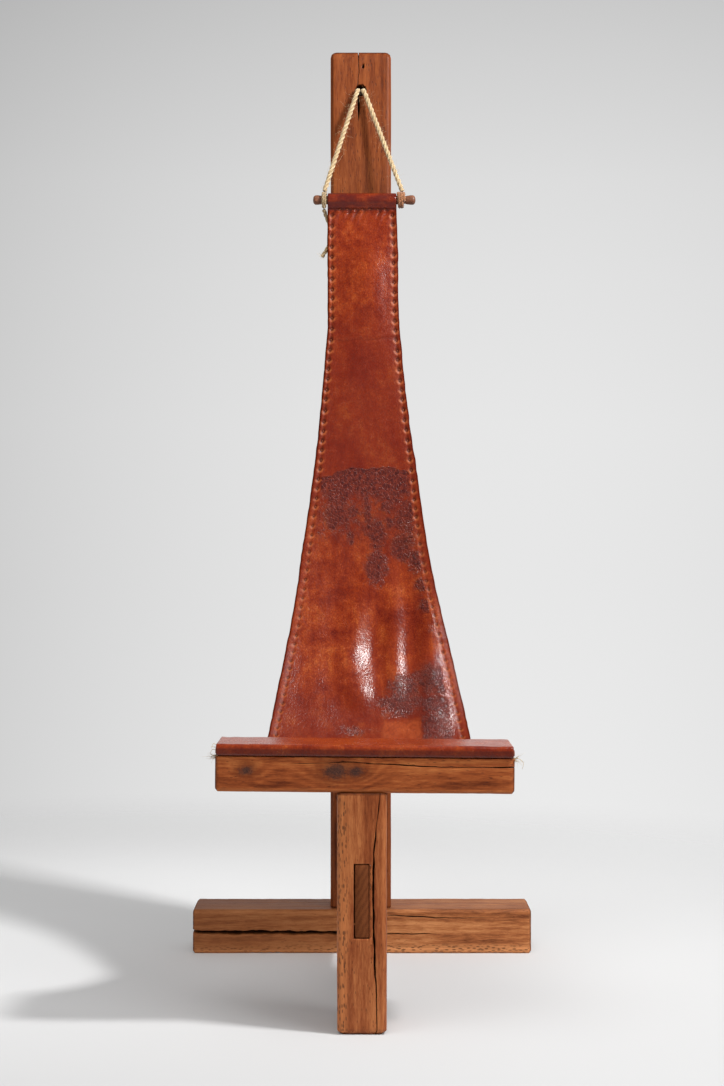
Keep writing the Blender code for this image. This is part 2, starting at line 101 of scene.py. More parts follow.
def hashed(cells, seed):
    """A number from 0 to 1 for each whole-number cell."""
    mixed = (cells[..., 0] * 73856093) ^ (cells[..., 1] * 19349663) ^ (cells[..., 2] * 83492791)
    mixed = (mixed ^ (seed * 374761393)) & 0x7FFFFFFF
    mixed = ((mixed ^ (mixed >> 13)) * 1274126177) & 0x7FFFFFFF
    mixed = ((mixed ^ (mixed >> 16)) * 668265263) & 0x7FFFFFFF
    return (mixed ^ (mixed >> 15)) % 65536 / 65535.0


def noise(points, size, seed=0, octaves=3):
    """Smooth noise from about -1 to 1. size is the feature size, one number or one per axis."""
    points = np.asarray(points, float) / np.asarray(size, float) + 1000.0
    total = np.zeros(points.shape[:-1])
    strength = 1.0
    for octave in range(octaves):
        cell = np.floor(points).astype(np.int64)
        part = points - cell
        part = part * part * (3 - 2 * part)
        value = np.zeros(points.shape[:-1])
        for corner in range(8):
            step = np.array([corner & 1, corner >> 1 & 1, corner >> 2 & 1])
            weight = np.prod(np.where(step == 1, part, 1 - part), axis=-1)
            value += weight * hashed(cell + step, seed + octave)
        total += strength * (2 * value - 1)
        strength *= 0.5
        points = points * 2.03
    return total


def noise_over(x, y, z, size, seed, octaves=3):
    """Noise at points given by three coordinates, any of which may be one plain number."""
    return noise(np.stack(np.broadcast_arrays(x, y, z), -1), size, seed, octaves)


def bell(value, width):
    return np.exp(-(value / width) ** 2)


def ease(value, low, high):
    """0 below low, 1 above high and smooth between; low may be the larger one."""
    share = np.clip((np.asarray(value, float) - low) / (high - low), 0, 1)
    return share * share * (3 - 2 * share)


def through(value, stations):
    """A smooth line through (place, height) stations, flat beyond its ends."""
    places = np.array([station[0] for station in stations])
    heights = np.array([station[1] for station in stations])
    slopes = np.gradient(heights, places)
    value = np.clip(value, places[0], places[-1])
    index = np.clip(np.searchsorted(places, value) - 1, 0, len(places) - 2)
    width = places[index + 1] - places[index]
    t = (value - places[index]) / width
    return ((2 * t**3 - 3 * t**2 + 1) * heights[index] + (t**3 - 2 * t**2 + t) * width * slopes[index]
            + (3 * t**2 - 2 * t**3) * heights[index + 1] + (t**3 - t**2) * width * slopes[index + 1])


def between(first, second, start, end, moment):
    return first + (second - first) * ((moment - start) / (end - start))


def smooth_curve(points, samples):
    """Points on a centripetal Catmull-Rom curve through the guide points, samples to each span."""
    guides = [np.asarray(point, float) for point in points]
    guides = [2 * guides[0] - guides[1]] + guides + [2 * guides[-1] - guides[-2]]
    made = []
    for index in range(1, len(guides) - 2):
        p0, p1, p2, p3 = guides[index - 1:index + 3]
        t1 = np.linalg.norm(p1 - p0) ** 0.5
        t2 = t1 + np.linalg.norm(p2 - p1) ** 0.5
        t3 = t2 + np.linalg.norm(p3 - p2) ** 0.5
        is_last = index == len(guides) - 3
        for step in range(samples + is_last):
            t = t1 + (t2 - t1) * step / samples
            a1 = between(p0, p1, 0, t1, t)
            a2 = between(p1, p2, t1, t2, t)
            a3 = between(p2, p3, t2, t3, t)
            b1 = between(a1, a2, 0, t2, t)
            b2 = between(a2, a3, t1, t3, t)
            made.append(between(b1, b2, t1, t2, t))
    return np.array(made)


def travelled(line):
    """How far along a line each of its points lies."""
    return np.concatenate([[0], np.cumsum(np.linalg.norm(np.diff(line, axis=0), axis=1))])


def unit(vectors):
    """Vectors of length 1 along the last axis."""
    return vectors / np.linalg.norm(vectors, axis=-1)[..., None]


def resampled(points, weights=None, spacing=0.002):
    """The line at an even spacing, closer where weights are above 1."""
    steps = np.linalg.norm(np.diff(points, axis=0), axis=1)
    if weights is None:
        weights = np.ones(len(points))
    cost = np.concatenate([[0], np.cumsum(steps * (weights[1:] + weights[:-1]) / 2)])
    places = np.linspace(0, cost[-1], max(2, int(cost[-1] / spacing) + 1))
    return np.stack([np.interp(places, cost, points[:, axis]) for axis in range(points.shape[1])], -1)


# ---------------------------------------------------------------- meshes

def new_object(name, mesh, surface=None):
    thing = bpy.data.objects.new(name, mesh)
    bpy.context.collection.objects.link(thing)
    if surface is not None:
        mesh.materials.append(surface)
    return thing


def mesh_of(name, points, faces):
    """A smooth-shaded mesh, turned so that its faces look outwards."""
    points = np.asarray(points, float).reshape(-1, 3)
    volume = 0.0
    for face in faces:
        if len(face) < 60:
            a = points[face[0]]
            for second, third in zip(face[1:-1], face[2:]):
                b, c = points[second], points[third]
                volume += (a[0] * (b[1] * c[2] - b[2] * c[1]) + a[1] * (b[2] * c[0] - b[0] * c[2])
                           + a[2] * (b[0] * c[1] - b[1] * c[0]))
    if volume < 0:
        faces = [face[::-1] for face in faces]
    mesh = bpy.data.meshes.new(name)
    mesh.from_pydata(points.tolist(), [], faces)
    mesh.validate()
    mesh.shade_smooth()
    return mesh


def grid_faces(rows, columns):
    """Quads over closed rings of points, one ring to a row."""
    index = np.arange(rows * columns).reshape(rows, columns)
    across = np.roll(index, -1, axis=1)
    quads = np.stack([index[:-1], across[:-1], across[1:], index[1:]], -1)
    return quads.reshape(-1, 4).tolist()


def capped_faces(rows, columns):
    """Faces over rings of points, with a flat face on each end."""
    last = (rows - 1) * columns
    return grid_faces(rows, columns) + [list(range(columns))[::-1], list(range(last, last + columns))]


def tube_object(name, grid, surface):
    return new_object(name, mesh_of(name, grid, capped_faces(*grid.shape[:2])), surface)


def add_values(mesh, name, values, kind="FLOAT"):
    attribute = mesh.attributes.new(name, kind, "POINT")
    flat = np.ascontiguousarray(values, np.float32).reshape(-1)
    attribute.data.foreach_set("value" if kind == "FLOAT" else "vector", flat)


def assign(piece, body, node=None):
    """What a piece rides on and which CAD node it stands in for."""
    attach(piece, body)
    if node:
        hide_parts(node)


def baked(thing):
    """The object with its modifiers applied."""
    graph = bpy.context.evaluated_depsgraph_get()
    mesh = bpy.data.meshes.new_from_object(thing.evaluated_get(graph))
    thing.modifiers.clear()
    thing.data = mesh
    return thing


def cut(thing, *cutters):
    for cutter in cutters:
        modifier = thing.modifiers.new("cut", "BOOLEAN")
        modifier.operation = "DIFFERENCE"
        modifier.object = cutter
        modifier.solver = "EXACT"
    baked(thing)
    for cutter in cutters:
        bpy.data.objects.remove(cutter, do_unlink=True)
    return thing


def finished_cutter(bm, centre):
    bmesh.ops.translate(bm, vec=centre, verts=bm.verts)
    mesh = bpy.data.meshes.new("cutter")
    bm.to_mesh(mesh)
    bm.free()
    return new_object("cutter", mesh)


def box_cutter(low, high):
    low, high = Vector(low), Vector(high)
    bm = bmesh.new()
    bmesh.ops.create_cube(bm, size=1.0)
    bmesh.ops.scale(bm, vec=high - low, verts=bm.verts)
    return finished_cutter(bm, (low + high) / 2)


def round_cutter(start, end, radius, squash=1.0, sides=28):
    """A bore from start to end; squash narrows it along X."""
    start, end = Vector(start), Vector(end)
    bm = bmesh.new()
    bmesh.ops.create_cone(bm, cap_ends=True, segments=sides, radius1=radius, radius2=radius,
                          depth=(end - start).length)
    turn = (end - start).to_track_quat("Z", "Y").to_matrix().to_4x4()
    bmesh.ops.transform(bm, matrix=turn, verts=bm.verts)
    bmesh.ops.scale(bm, vec=(squash, 1, 1), verts=bm.verts)
    return finished_cutter(bm, (start + end) / 2)


# ---------------------------------------------------------------- shader helper

class Nodes:
    """A node tree, with one short method for each kind of node that is used."""

    def __init__(self, tree, place="Object"):
        self.tree = tree
        self.place = self.node("ShaderNodeTexCoord", place)

    def feed(self, socket, value):
        if isinstance(value, bpy.types.NodeSocket):
            self.tree.links.new(value, socket)
        else:
            socket.default_value = value

    def node(self, kind, output=0, inputs=None, **settings):
        """Adds a node; inputs are values or sockets by name, and output is what it returns."""
        made = self.tree.nodes.new(kind)
        for name, value in settings.items():
            setattr(made, name, value)
        for name, value in (inputs or {}).items():
            self.feed(made.inputs[name], value)
        return made.outputs[output]

    def attribute(self, name, output="Fac"):
        return self.node("ShaderNodeAttribute", output, attribute_name=name)

    def scaled(self, vector, scale):
        return self.node("ShaderNodeMapping", "Vector", {"Vector": vector, "Scale": scale})

    def noise(self, vector, scale, detail=3.0, roughness=0.5, distortion=0.0, output="Fac"):
        return self.node("ShaderNodeTexNoise", output, {
            "Vector": vector, "Scale": scale, "Detail": detail, "Roughness": roughness,
            "Distortion": distortion})

    def cells(self, vector, scale, feature="F1"):
        return self.node("ShaderNodeTexVoronoi", "Distance", {"Vector": vector, "Scale": scale},
                         feature=feature)

    def math(self, operation, first, second=0.0, third=0.0, clamp=False):
        return self.node("ShaderNodeMath", 0, {0: first, 1: second, 2: third}, operation=operation,
                         use_clamp=clamp)

    def times(self, first, second):
        return self.math("MULTIPLY", first, second)

    def vary(self, value, amount, base, clamp=False):
        """base, moved up and down by amount as value goes from 0 to 1."""
        return self.math("MULTIPLY_ADD", self.math("SUBTRACT", value, 0.5), amount, base, clamp)

    def vector_math(self, operation, first, second=(0, 0, 0)):
        output = "Value" if operation in ("LENGTH", "DISTANCE") else "Vector"
        return self.node("ShaderNodeVectorMath", output, {0: first, 1: second}, operation=operation)

    def shrunk(self, vector, scale):
        return self.node("ShaderNodeVectorMath", "Vector", {0: vector, "Scale": scale}, operation="SCALE")

    def parts(self, vector):
        splitter = self.tree.nodes.new("ShaderNodeSeparateXYZ")
        self.feed(splitter.inputs[0], vector)
        return splitter.outputs

    def span(self, value, source, target=(0.0, 1.0), interpolation="SMOOTHSTEP"):
        """Maps a value from one range to another."""
        return self.node("ShaderNodeMapRange", 0, {
            "Value": value, "From Min": source[0], "From Max": source[1], "To Min": target[0],
            "To Max": target[1]}, interpolation_type=interpolation)

    def step(self, value, low, high):
        """0 below low and 1 above high, smooth between; low may be the larger one."""
        if low > high:
            return self.span(value, (high, low), (1.0, 0.0))
        return self.span(value, (low, high))

    def ramp(self, value, stops):
        made = self.tree.nodes.new("ShaderNodeValToRGB")
        self.feed(made.inputs["Fac"], value)
        elements = made.color_ramp.elements
        while len(elements) < len(stops):
            elements.new(0.5)
        for element, (place, colour) in zip(elements, stops):
            element.position = place
            element.color = (*colour, 1.0)
        return made.outputs["Color"]

    def mix(self, share, first, second):
        made = self.tree.nodes.new("ShaderNodeMix")
        made.data_type = "RGBA"
        self.feed(made.inputs["Factor"], share)
        colours = [socket for socket in made.inputs if socket.type == "RGBA"]
        for socket, value in zip(colours, (first, second)):
            self.feed(socket, value if isinstance(value, bpy.types.NodeSocket) else (*value, 1.0))
        return [socket for socket in made.outputs if socket.type == "RGBA"][0]

    def tint(self, colour, mask, amount, other):
        """The colour, replaced by the other one where the mask is 1, by that amount."""
        return self.mix(self.times(mask, amount), colour, other)


class Shader(Nodes):
    """A material with one Principled BSDF."""

    def __init__(self, name, specular=None):
        self.material = bpy.data.materials.new(name)
        self.material.use_nodes = True
        super().__init__(self.material.node_tree)
        self.bsdf = self.tree.nodes["Principled BSDF"]
        if specular is not None:
            self.set("Specular IOR Level", specular)

    def set(self, name, value):
        self.feed(self.bsdf.inputs[name], value)

    def bump(self, height, distance, strength=1.0):
        self.set("Normal", self.node("ShaderNodeBump", "Normal", {
            "Height": height, "Distance": distance, "Strength": strength}))

    def finish(self, colour, roughness):
        self.set("Base Color", colour)
        self.set("Roughness", roughness)
        return self.material


def shade(colour, share):
    return tuple(share * channel for channel in colour)


# ---------------------------------------------------------------- wood material

RING_PITCH = 0.0042               # metres from one growth ring to the next


def wood(name, along, pale, mid, dark, pith, knots=(), sapwood=None, contrast=1.0, browner=None):
    """Sawn hardwood whose fibres run along one axis ("X", "Y" or "Z"). pith is a point on the
    tree's heart, which the growth rings circle; knots are (centre, radius) pairs; sapwood is
    (axis, edge, far edge): a paler, pitted strip that starts at edge; browner is the same for a
    part of the timber that is tinted a darker brown."""
    s = Shader(name, specular=0.20)

    def lengthwise(share):
        return tuple(share if axis == along else 1.0 for axis in "XYZ")

    def stretched(share):
        return s.scaled(s.place, lengthwise(share))

    fibre_place = stretched(0.07)
    drift = s.noise(stretched(0.12), 9.0, 2.0, output="Color")
    bend = s.shrunk(s.vector_math("SUBTRACT", drift, (0.5, 0.5, 0.5)), 0.055)
    offset = s.vector_math("SUBTRACT", s.vector_math("ADD", s.place, bend), tuple(pith))
    reach = s.vector_math("LENGTH", s.vector_math("MULTIPLY", offset, lengthwise(0.0)))
    knot_dark = None
    knot_halo = None
    for centre, radius in knots:
        gap = s.vector_math("SUBTRACT", s.place, tuple(centre))
        distance = s.vector_math("LENGTH", s.vector_math("MULTIPLY", gap, lengthwise(0.62)))
        ragged = s.vary(s.noise(s.place, 260, 3), radius * 1.1, distance)
        near = s.step(ragged, radius * 1.15, radius * 0.25)
        swirl = s.step(distance, radius * 3.6, 0.0)
        reach = s.math("MULTIPLY_ADD", swirl, radius * 1.5, reach)
        halo = s.step(ragged, radius * 2.3, radius * 0.9)
        knot_dark = near if knot_dark is None else s.math("MAXIMUM", knot_dark, near)
        knot_halo = halo if knot_halo is None else s.math("MAXIMUM", knot_halo, halo)

    rings = s.math("PINGPONG", s.math("DIVIDE", reach, RING_PITCH), 1.0)
    rings = s.step(rings, 0.1, 0.95)
    streaks = s.noise(fibre_place, 42, 6, 0.62, 0.6)
    fibres = s.noise(stretched(0.11), 430, 5, 0.72)
    fine = s.noise(stretched(0.05), 1500, 2, 0.5)
    dashes = s.cells(stretched(0.24), 300)
    crowd = s.noise(fibre_place, 26, 3, 0.6)
    reach_of_pit = s.math("MULTIPLY_ADD", crowd, 0.62, -0.16)
    pores = s.step(s.math("SUBTRACT", reach_of_pit, dashes), -0.04, 0.06)
    pores = s.math("MAXIMUM", pores, s.times(s.step(fine, 0.60, 0.72), 0.45))
    blotches = s.noise(s.place, 11, 4, 0.6)

    tone = s.vary(streaks, 1.10 * contrast, 0.5)
    tone = s.vary(rings, 0.15 * contrast, tone)
    tone = s.vary(fibres, 1.30, tone)
    tone = s.vary(blotches, 0.65, tone, clamp=True)
    colour = s.ramp(tone, ((0.08, dark), (0.45, mid), (0.86, pale)))
    colour = s.tint(colour, pores, 0.62, shade(dark, 0.45))

    height = s.math("MULTIPLY_ADD", fibres, 0.8, s.times(rings, 0.2))
    height = s.math("SUBTRACT", height, s.times(pores, 1.1))
    if knot_dark is not None:
        grain = s.noise(s.place, 520, 4, 0.65)
        knot_tone = s.ramp(grain, ((0.35, (0.022, 0.010, 0.009)), (0.7, (0.085, 0.034, 0.022))))
        colour = s.tint(colour, knot_halo, 0.55, shade(dark, 0.9))
        colour = s.tint(colour, knot_dark, 0.93, knot_tone)
        height = s.math("SUBTRACT", height, s.times(knot_dark, s.noise(s.place, 700, 3)))
    if sapwood is not None:
        axis, edge, far = sapwood
        coordinate = s.parts(s.place)["XYZ".index(axis)]
        wander = s.vary(s.noise(fibre_place, 30, 3), 0.016, coordinate)
        strip = s.step(wander, edge, far)
        pits = s.cells(stretched(0.35), 330)
        sap = shade(pale, 1.12)
        holes = s.times(s.step(pits, 0.46, 0.26), strip)
        pale_tone = s.ramp(s.noise(fibre_place, 240, 4, 0.7),
                           ((0.25, shade(mid, 0.60)), (0.55, sap), (0.8, shade(sap, 1.3))))
        colour = s.tint(colour, strip, 0.80, pale_tone)
        colour = s.tint(colour, holes, 0.75, (0.050, 0.018, 0.008))
        height = s.math("SUBTRACT", height, s.times(holes, 1.6))

    if browner is not None:
        axis, edge, far = browner
        share = s.step(s.parts(s.place)["XYZ".index(axis)], edge, far)
        colour = s.tint(colour, share, 0.55, shade(mid, 0.62))
    # Painted shade: the insides of the cracks are tinted near black, from the crack attribute.
    crack = s.attribute("crack")
    colour = s.tint(colour, crack, 0.9, (0.014, 0.007, 0.005))
    wear = s.attribute("arris")
    colour = s.tint(colour, wear, 0.30, shade(pale, 1.35))
    end_grain = s.attribute("end_grain")
    checks = s.step(s.cells(s.place, 120, "DISTANCE_TO_EDGE"), 0.10, 0.0)
    end_tone = s.ramp(s.math("MULTIPLY_ADD", rings, 0.5, s.times(s.noise(s.place, 900, 3), 0.5)),
                      ((0.2, shade(mid, 0.42)), (0.8, shade(mid, 0.80))))
    end_tone = s.tint(end_tone, checks, 0.5, (0.02, 0.012, 0.01))
    colour = s.mix(end_grain, colour, end_tone)
    s.bump(height, 0.00016, 1.0)
    rough = s.vary(streaks, 0.22, 0.50)
    rough = s.math("MULTIPLY_ADD", end_grain, 0.25, rough, clamp=True)
    return s.finish(colour, rough)


# ---------------------------------------------------------------- timbers

# Where columns follow a crack, in half widths from its middle.
CRACK_COLUMNS = [0.0, 0.38, 0.72, 1.0, 1.35, 2.2]


def outline(width, height, chamfer, cracks):
    """Columns round a bar's section: place along the outline, and the crack and offset of the
    close columns that follow a crack. Also the outline's corners, as (place, u, v)."""
    u, v, c = width / 2, height / 2, chamfer
    corners = [(-u + c, -v), (u - c, -v), (u, -v + c), (u, v - c), (u - c, v), (-u + c, v), (-u, v - c),
               (-u, -v + c), (-u + c, -v)]
    places = [0.0]
    for first, second in zip(corners, corners[1:]):
        places.append(places[-1] + math.dist(first, second))
    columns = []
    soft = 0.0007
    for start, end in zip(places, places[1:]):
        length = end - start
        inner = np.linspace(start + soft, end - soft, max(2, round(length / 0.0028)))
        columns += [(place, None, 0.0) for place in (start, *inner)]
    offsets = [-offset for offset in CRACK_COLUMNS[:0:-1]] + CRACK_COLUMNS
    for index, crack in enumerate(cracks):
        columns = [column for column in columns
                   if column[1] is not None or abs(column[0] - crack["place"]) > 2.4 * crack["width"] / 2]
        columns += [(crack["place"], index, offset) for offset in offsets]
    columns.sort(key=lambda column: (column[0], column[2]))
    return columns, corners, places


# Which way round a bar's outline each face's offsets run.
FACE_SIGNS = {"-v": 1, "+u": 1, "+v": -1, "-u": -1}


def face_place(face, offset, width, height, chamfer):
    """Where a point lies along the outline: face is "-v", "+u", "+v" or "-u"."""
    u, v, c = width - 2 * chamfer, height - 2 * chamfer, chamfer * math.sqrt(2)
    middles = {"-v": u / 2, "+u": u + c + v / 2, "+v": u + c + v + c + u / 2,
               "-u": u + c + v + c + u + c + v / 2}
    return middles[face] + FACE_SIGNS[face] * offset


def bar(name, low, high, along, surface, chamfer=0.005, cracks=(), ends=(1, 1), seed=1, rough=1.0,
        row=0.004):
    """A sawn timber between two corners: chamfered, slightly uneven, split by its cracks. Each crack
    is a dict with face, line (a list of (place along the bar, offset across the face)), width,
    depth and widths (a list of (place along, share of width)). ends says which ends are chamfered."""
    low, high = np.array(low, float), np.array(high, float)
    axis = "XYZ".index(along)
    across = [index for index in range(3) if index != axis]
    width, height = (high - low)[across]
    middle = (low + high) / 2
    cracks = [dict(crack) for crack in cracks]
    for crack in cracks:
        offsets = [offset for _, offset in crack["line"]]
        crack["middle"] = (max(offsets) + min(offsets)) / 2
        crack["place"] = face_place(crack["face"], crack["middle"], width, height, chamfer)
    columns, corners, places = outline(width, height, chamfer, cracks)

    start, end = low[axis], high[axis]
    rows = list(np.arange(start + 0.006, end - 0.006, row))
    rows = [start, start + 0.0012, start + 0.0035] + rows + [end - 0.0035, end - 0.0012, end]
    rows = np.array(rows)
    base = np.array([column[0] for column in columns])
    which = np.array([-1 if column[1] is None else column[1] for column in columns])
    offset = np.array([column[2] for column in columns])

    place = np.repeat(base[None, :], len(rows), 0)
    sink = np.zeros((len(rows), len(base)))
    # dark is painted shade for the inside of each crack; it is kept as the crack attribute.
    dark = np.zeros_like(sink)
    for index, crack in enumerate(cracks):
        jag = noise_over(rows, index, 0, (0.014, 1, 1), seed + 81)
        jag = jag * 0.00055 * (crack["width"] / 0.0026) ** 0.5
        shift = FACE_SIGNS[crack["face"]] * (through(rows, crack["line"]) - crack["middle"]) + jag
        share = through(rows, crack["widths"])
        share = share * (1 + 0.30 * noise_over(rows, index, 0, (0.009, 1, 1), seed + 83) * (share > 0.02))
        half = crack["width"] / 2
        mine = which == index
        fall = ease(np.abs(base - crack["place"]), 0.030, 0.004)
        place += np.where(mine, 1.0, fall)[None, :] * shift[:, None]
        place += np.where(mine, offset, 0.0)[None, :] * half * np.maximum(share, 0.25)[:, None]
        profile = np.interp(np.abs(offset), CRACK_COLUMNS, [1.0, 0.93, 0.55, 0.06, 0.0, 0.0])
        depth = crack["depth"] * ease(share, 0.02, 0.5)
        sink += np.where(mine, profile, 0.0)[None, :] * depth[:, None]
        dark += np.where(mine, np.clip(profile * 1.6, 0, 1), 0.0)[None, :] * ease(share, 0.02, 0.3)[:, None]

    total = places[-1]
    place = np.mod(place, total)
    corner_u = np.array([corner[0] for corner in corners])
    corner_v = np.array([corner[1] for corner in corners])
    u = np.interp(place, places, corner_u)
    v = np.interp(place, places, corner_v)
    segment = np.clip(np.searchsorted(places, place, side="right") - 1, 0, 7)
    normals = np.array([(0, -1), (1, -1), (1, 0), (1, 1), (0, 1), (-1, 1), (-1, 0), (-1, -1)], float)
    normals /= np.linalg.norm(normals, axis=1)[:, None]
    normal = normals[segment]
    edge = np.min(np.abs(place[..., None] - np.array(places)[None, None, :]), axis=-1)
    arris = ease(edge, 0.0022, 0.0)
    blunt = ease(edge, 0.0016, 0.0) * 0.00035

    points = np.zeros((*place.shape, 3))
    points[..., axis] = rows[:, None]
    points[..., across[0]] = middle[across[0]] + u
    points[..., across[1]] = middle[across[1]] + v
    stretch = np.ones(3) * 0.020
    stretch[axis] = 0.160
    fine = np.ones(3) * 0.0032
    fine[axis] = 0.045
    uneven = (noise(points, stretch, seed) * 0.00030 + noise(points, fine, seed + 7, 2) * 0.00009) * rough
    uneven -= arris * np.clip(noise(points, 0.012, seed + 3), 0, 1) * 0.0005 * rough
    inward = sink + blunt - uneven
    points[..., across[0]] -= normal[..., 0] * inward
    points[..., across[1]] -= normal[..., 1] * inward

    for side, chamfered in ((0, ends[0]), (1, ends[1])):
        gap = np.abs(rows - (start, end)[side])
        inset = (chamfer - gap).clip(0) if chamfered else (0.0004 - gap).clip(0)
        for slot, half in zip(across, (width / 2, height / 2)):
            centred = points[..., slot] - middle[slot]
            points[..., slot] = middle[slot] + centred * (1 - inset[:, None] / half)
    thing = tube_object(name, points, surface)
    add_values(thing.data, "crack", np.clip(dark, 0, 1))
    add_values(thing.data, "arris", arris)
    near_end = np.minimum(rows - start, end - rows)
    add_values(thing.data, "end_grain", np.repeat(ease(near_end, 0.0030, 0.0008)[:, None], len(base), 1))
    return thing


def split(face, line, width, depth, widths):
    return {"face": face, "line": line, "width": width, "depth": depth, "widths": widths}


def build_post():
    surface = wood("post_wood", "Z", (0.225, 0.058, 0.013), (0.135, 0.028, 0.005), (0.056, 0.009, 0.002),
                   (POST_X - 0.060, POST_BACK_Y + 0.05, 0))
    top = POST_TOP
    check = split("-v", [(top - 0.125, -0.004), (top - 0.090, -0.0035), (top - 0.060, -0.005),
                         (top - 0.020, -0.003), (top, -0.0045)],
                  0.0026, 0.022,
                  [(top - 0.118, 0.0), (top - 0.098, 1.0), (top - 0.082, 0.9), (top - 0.045, 0.30),
                   (top, 0.55)])
    low_check = split("-v", [(0.60, 0.020), (0.80, 0.022), (1.00, 0.018)], 0.0010, 0.004,
                      [(0.60, 0.0), (0.75, 1.0), (0.90, 0.8), (1.00, 0.0)])
    back_check = split("+v", [(0.30, 0.012), (0.70, 0.016), (1.20, 0.010), (1.40, 0.013)], 0.0024, 0.014,
                       [(0.30, 0.0), (0.60, 1.0), (1.10, 0.8), (1.40, 0.0)])
    low = (POST[0][0], POST[0][1], CROSSBEAM[1][2] + GAP)
    post = bar("post_timber", low, POST[1], "Z", surface, cracks=(check, low_check, back_check),
               ends=(0, 1), seed=11)
    hole_back = ROPE_HOLE + Vector((0, 0.10, 0))
    nail = Vector((POST_X + 0.004, POST_FRONT_Y, top - 0.0245))
    half = TENON_HALF + 0.0006
    cut(post,
        round_cutter(ROPE_HOLE - Vector((0, 0.02, 0)), hole_back, ROPE_HOLE_RADIUS * 1.05),
        round_cutter(nail - Vector((0, 0.01, 0)), nail + Vector((0, 0.012, 0)), 0.0040, 0.45, 16),
        box_cutter((-0.0106, POST_FRONT_Y - 0.01, TENON_Z - half),
                   (0.0106, POST_BACK_Y + 0.01, TENON_Z + half)),
        *peg_bores("stretcher_peg_rear_lower", "stretcher_peg_rear_upper"))
    assign(post, "frame", "rear_post")


def peg_bores(*names):
    made = []
    for name in names:
        low, high = (Vector(corner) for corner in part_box(name))
        size = high - low
        axis = max(range(3), key=lambda index: size[index])
        middle = (low + high) / 2
        reach = Vector([size[index] / 2 + 0.003 if index == axis else 0 for index in range(3)])
        radius = min(size) / 2 + GAP
        made.append(round_cutter(middle - reach, middle + reach, radius, sides=20))
    return made


def build_leg():
    low = (LEG[0][0], LEG[0][1], 0.0)
    high = (LEG[1][0], LEG[1][1], LEG_HEIGHT)
    surface = wood("leg_wood", "Z", (0.370, 0.125, 0.040), (0.215, 0.052, 0.014), (0.095, 0.019, 0.005),
                   (0.055, FRONT_Y + 0.13, 0), sapwood=("X", LEG[0][0] + 0.020, LEG[0][0] + 0.010))
    long_split = split("-v", [(0.0, 0.0215), (0.049, 0.0200), (0.102, 0.0180), (0.161, 0.0163),
                              (0.2535, 0.0167), (0.301, 0.0210), (0.338, 0.0255)],
                       0.0026, 0.020,
                       [(0.0, 0.40), (0.060, 0.55), (0.110, 1.0), (0.240, 0.95), (0.290, 0.5), (0.338, 0.35)])
    side_split = split("+u", [(0.02, -0.012), (0.15, -0.016), (0.30, -0.010)], 0.0016, 0.010,
                       [(0.02, 0.0), (0.10, 1.0), (0.22, 0.7), (0.30, 0.0)])
    leg = bar("leg_timber", low, high, "Z", surface, cracks=(long_split, side_split), ends=(1, 0),
              seed=23, rough=1.3, row=0.003)
    half = TENON_HALF + 0.0011
    cut(leg,
        box_cutter((-0.0117, FRONT_Y - 0.01, TENON_Z - half),
                   (0.0104, LEG[1][1] + 0.01, TENON_Z + half)),
        *peg_bores("stretcher_peg_front_lower", "stretcher_peg_front_upper"))
    assign(leg, "frame", "front_leg")


def beam_drop(x):
    """How much lower the rolled seat beam lies at x than at its middle."""
    return (x - BEAM_CENTRE.x) * math.tan(BEAM_ROLL)


def rolled(thing):
    """Tips a piece that is built level to the seat beam's slight roll."""
    points = np.empty(len(thing.data.vertices) * 3)
    thing.data.vertices.foreach_get("co", points)
    points = points.reshape(-1, 3)
    x, z = points[:, 0] - BEAM_CENTRE.x, points[:, 2] - BEAM_CENTRE.z
    sine, cosine = math.sin(BEAM_ROLL), math.cos(BEAM_ROLL)
    points[:, 0] = BEAM_CENTRE.x + x * cosine + z * sine
    points[:, 2] = BEAM_CENTRE.z - x * sine + z * cosine
    thing.data.vertices.foreach_set("co", points.reshape(-1))
    thing.data.update()
    return thing


def build_seat_beam():
    half = Vector((BEAM_LENGTH / 2, STOCK_WIDE / 2, BEAM_HEIGHT / 2))
    low, high = BEAM_CENTRE - half, BEAM_CENTRE + half
    face_z = 0.3705
    knots = (((-0.1624, FRONT_Y, face_z), 0.0078), ((-0.0370, FRONT_Y, face_z - 0.0010), 0.0130),
             ((-0.0085, FRONT_Y, face_z - 0.0018), 0.0088), ((0.120, FRONT_Y + STOCK_WIDE, 0.372), 0.008))
    surface = wood("beam_wood", "X", (0.395, 0.124, 0.034), (0.240, 0.055, 0.013), (0.096, 0.018, 0.004),
                   (0, FRONT_Y + 0.09, 0.32), knots=knots)
    z = BEAM_CENTRE.z
    crack = split("-u", [(-0.105, 0.3785 - z), (-0.060, 0.3800 - z), (-0.020, 0.3822 - z),
                         (0.010, 0.3805 - z), (0.080, 0.3770 - z), (0.150, 0.3762 - z),
                         (high.x, 0.3768 - z)],
                  0.0016, 0.009,
                  [(-0.105, 0.0), (-0.085, 0.5), (-0.050, 0.25), (-0.030, 0.8), (0.0, 0.7), (0.060, 1.0),
                   (0.150, 0.7), (high.x, 1.0)])
    beam = bar("seat_beam_timber", low, high, "X", surface, cracks=(crack,), seed=37, row=0.003,
               chamfer=0.0036)
    slot_y = FRONT_Y + KEYWAY_DEPTH
    slot_z = high.z - KERF_DROP
    cut(beam,
        box_cutter((low.x - 0.01, FRONT_Y - 0.02, slot_z - KERF_HEIGHT / 2),
                   (high.x + 0.01, slot_y, slot_z + KERF_HEIGHT / 2)),
        round_cutter((low.x - 0.01, slot_y, high.z - KEYWAY_DROP),
                     (high.x + 0.01, slot_y, high.z - KEYWAY_DROP), KEYWAY_RADIUS))
    rolled(beam)
    cut(beam, *peg_bores("seat_beam_peg"))
    assign(beam, "frame", "seat_beam")


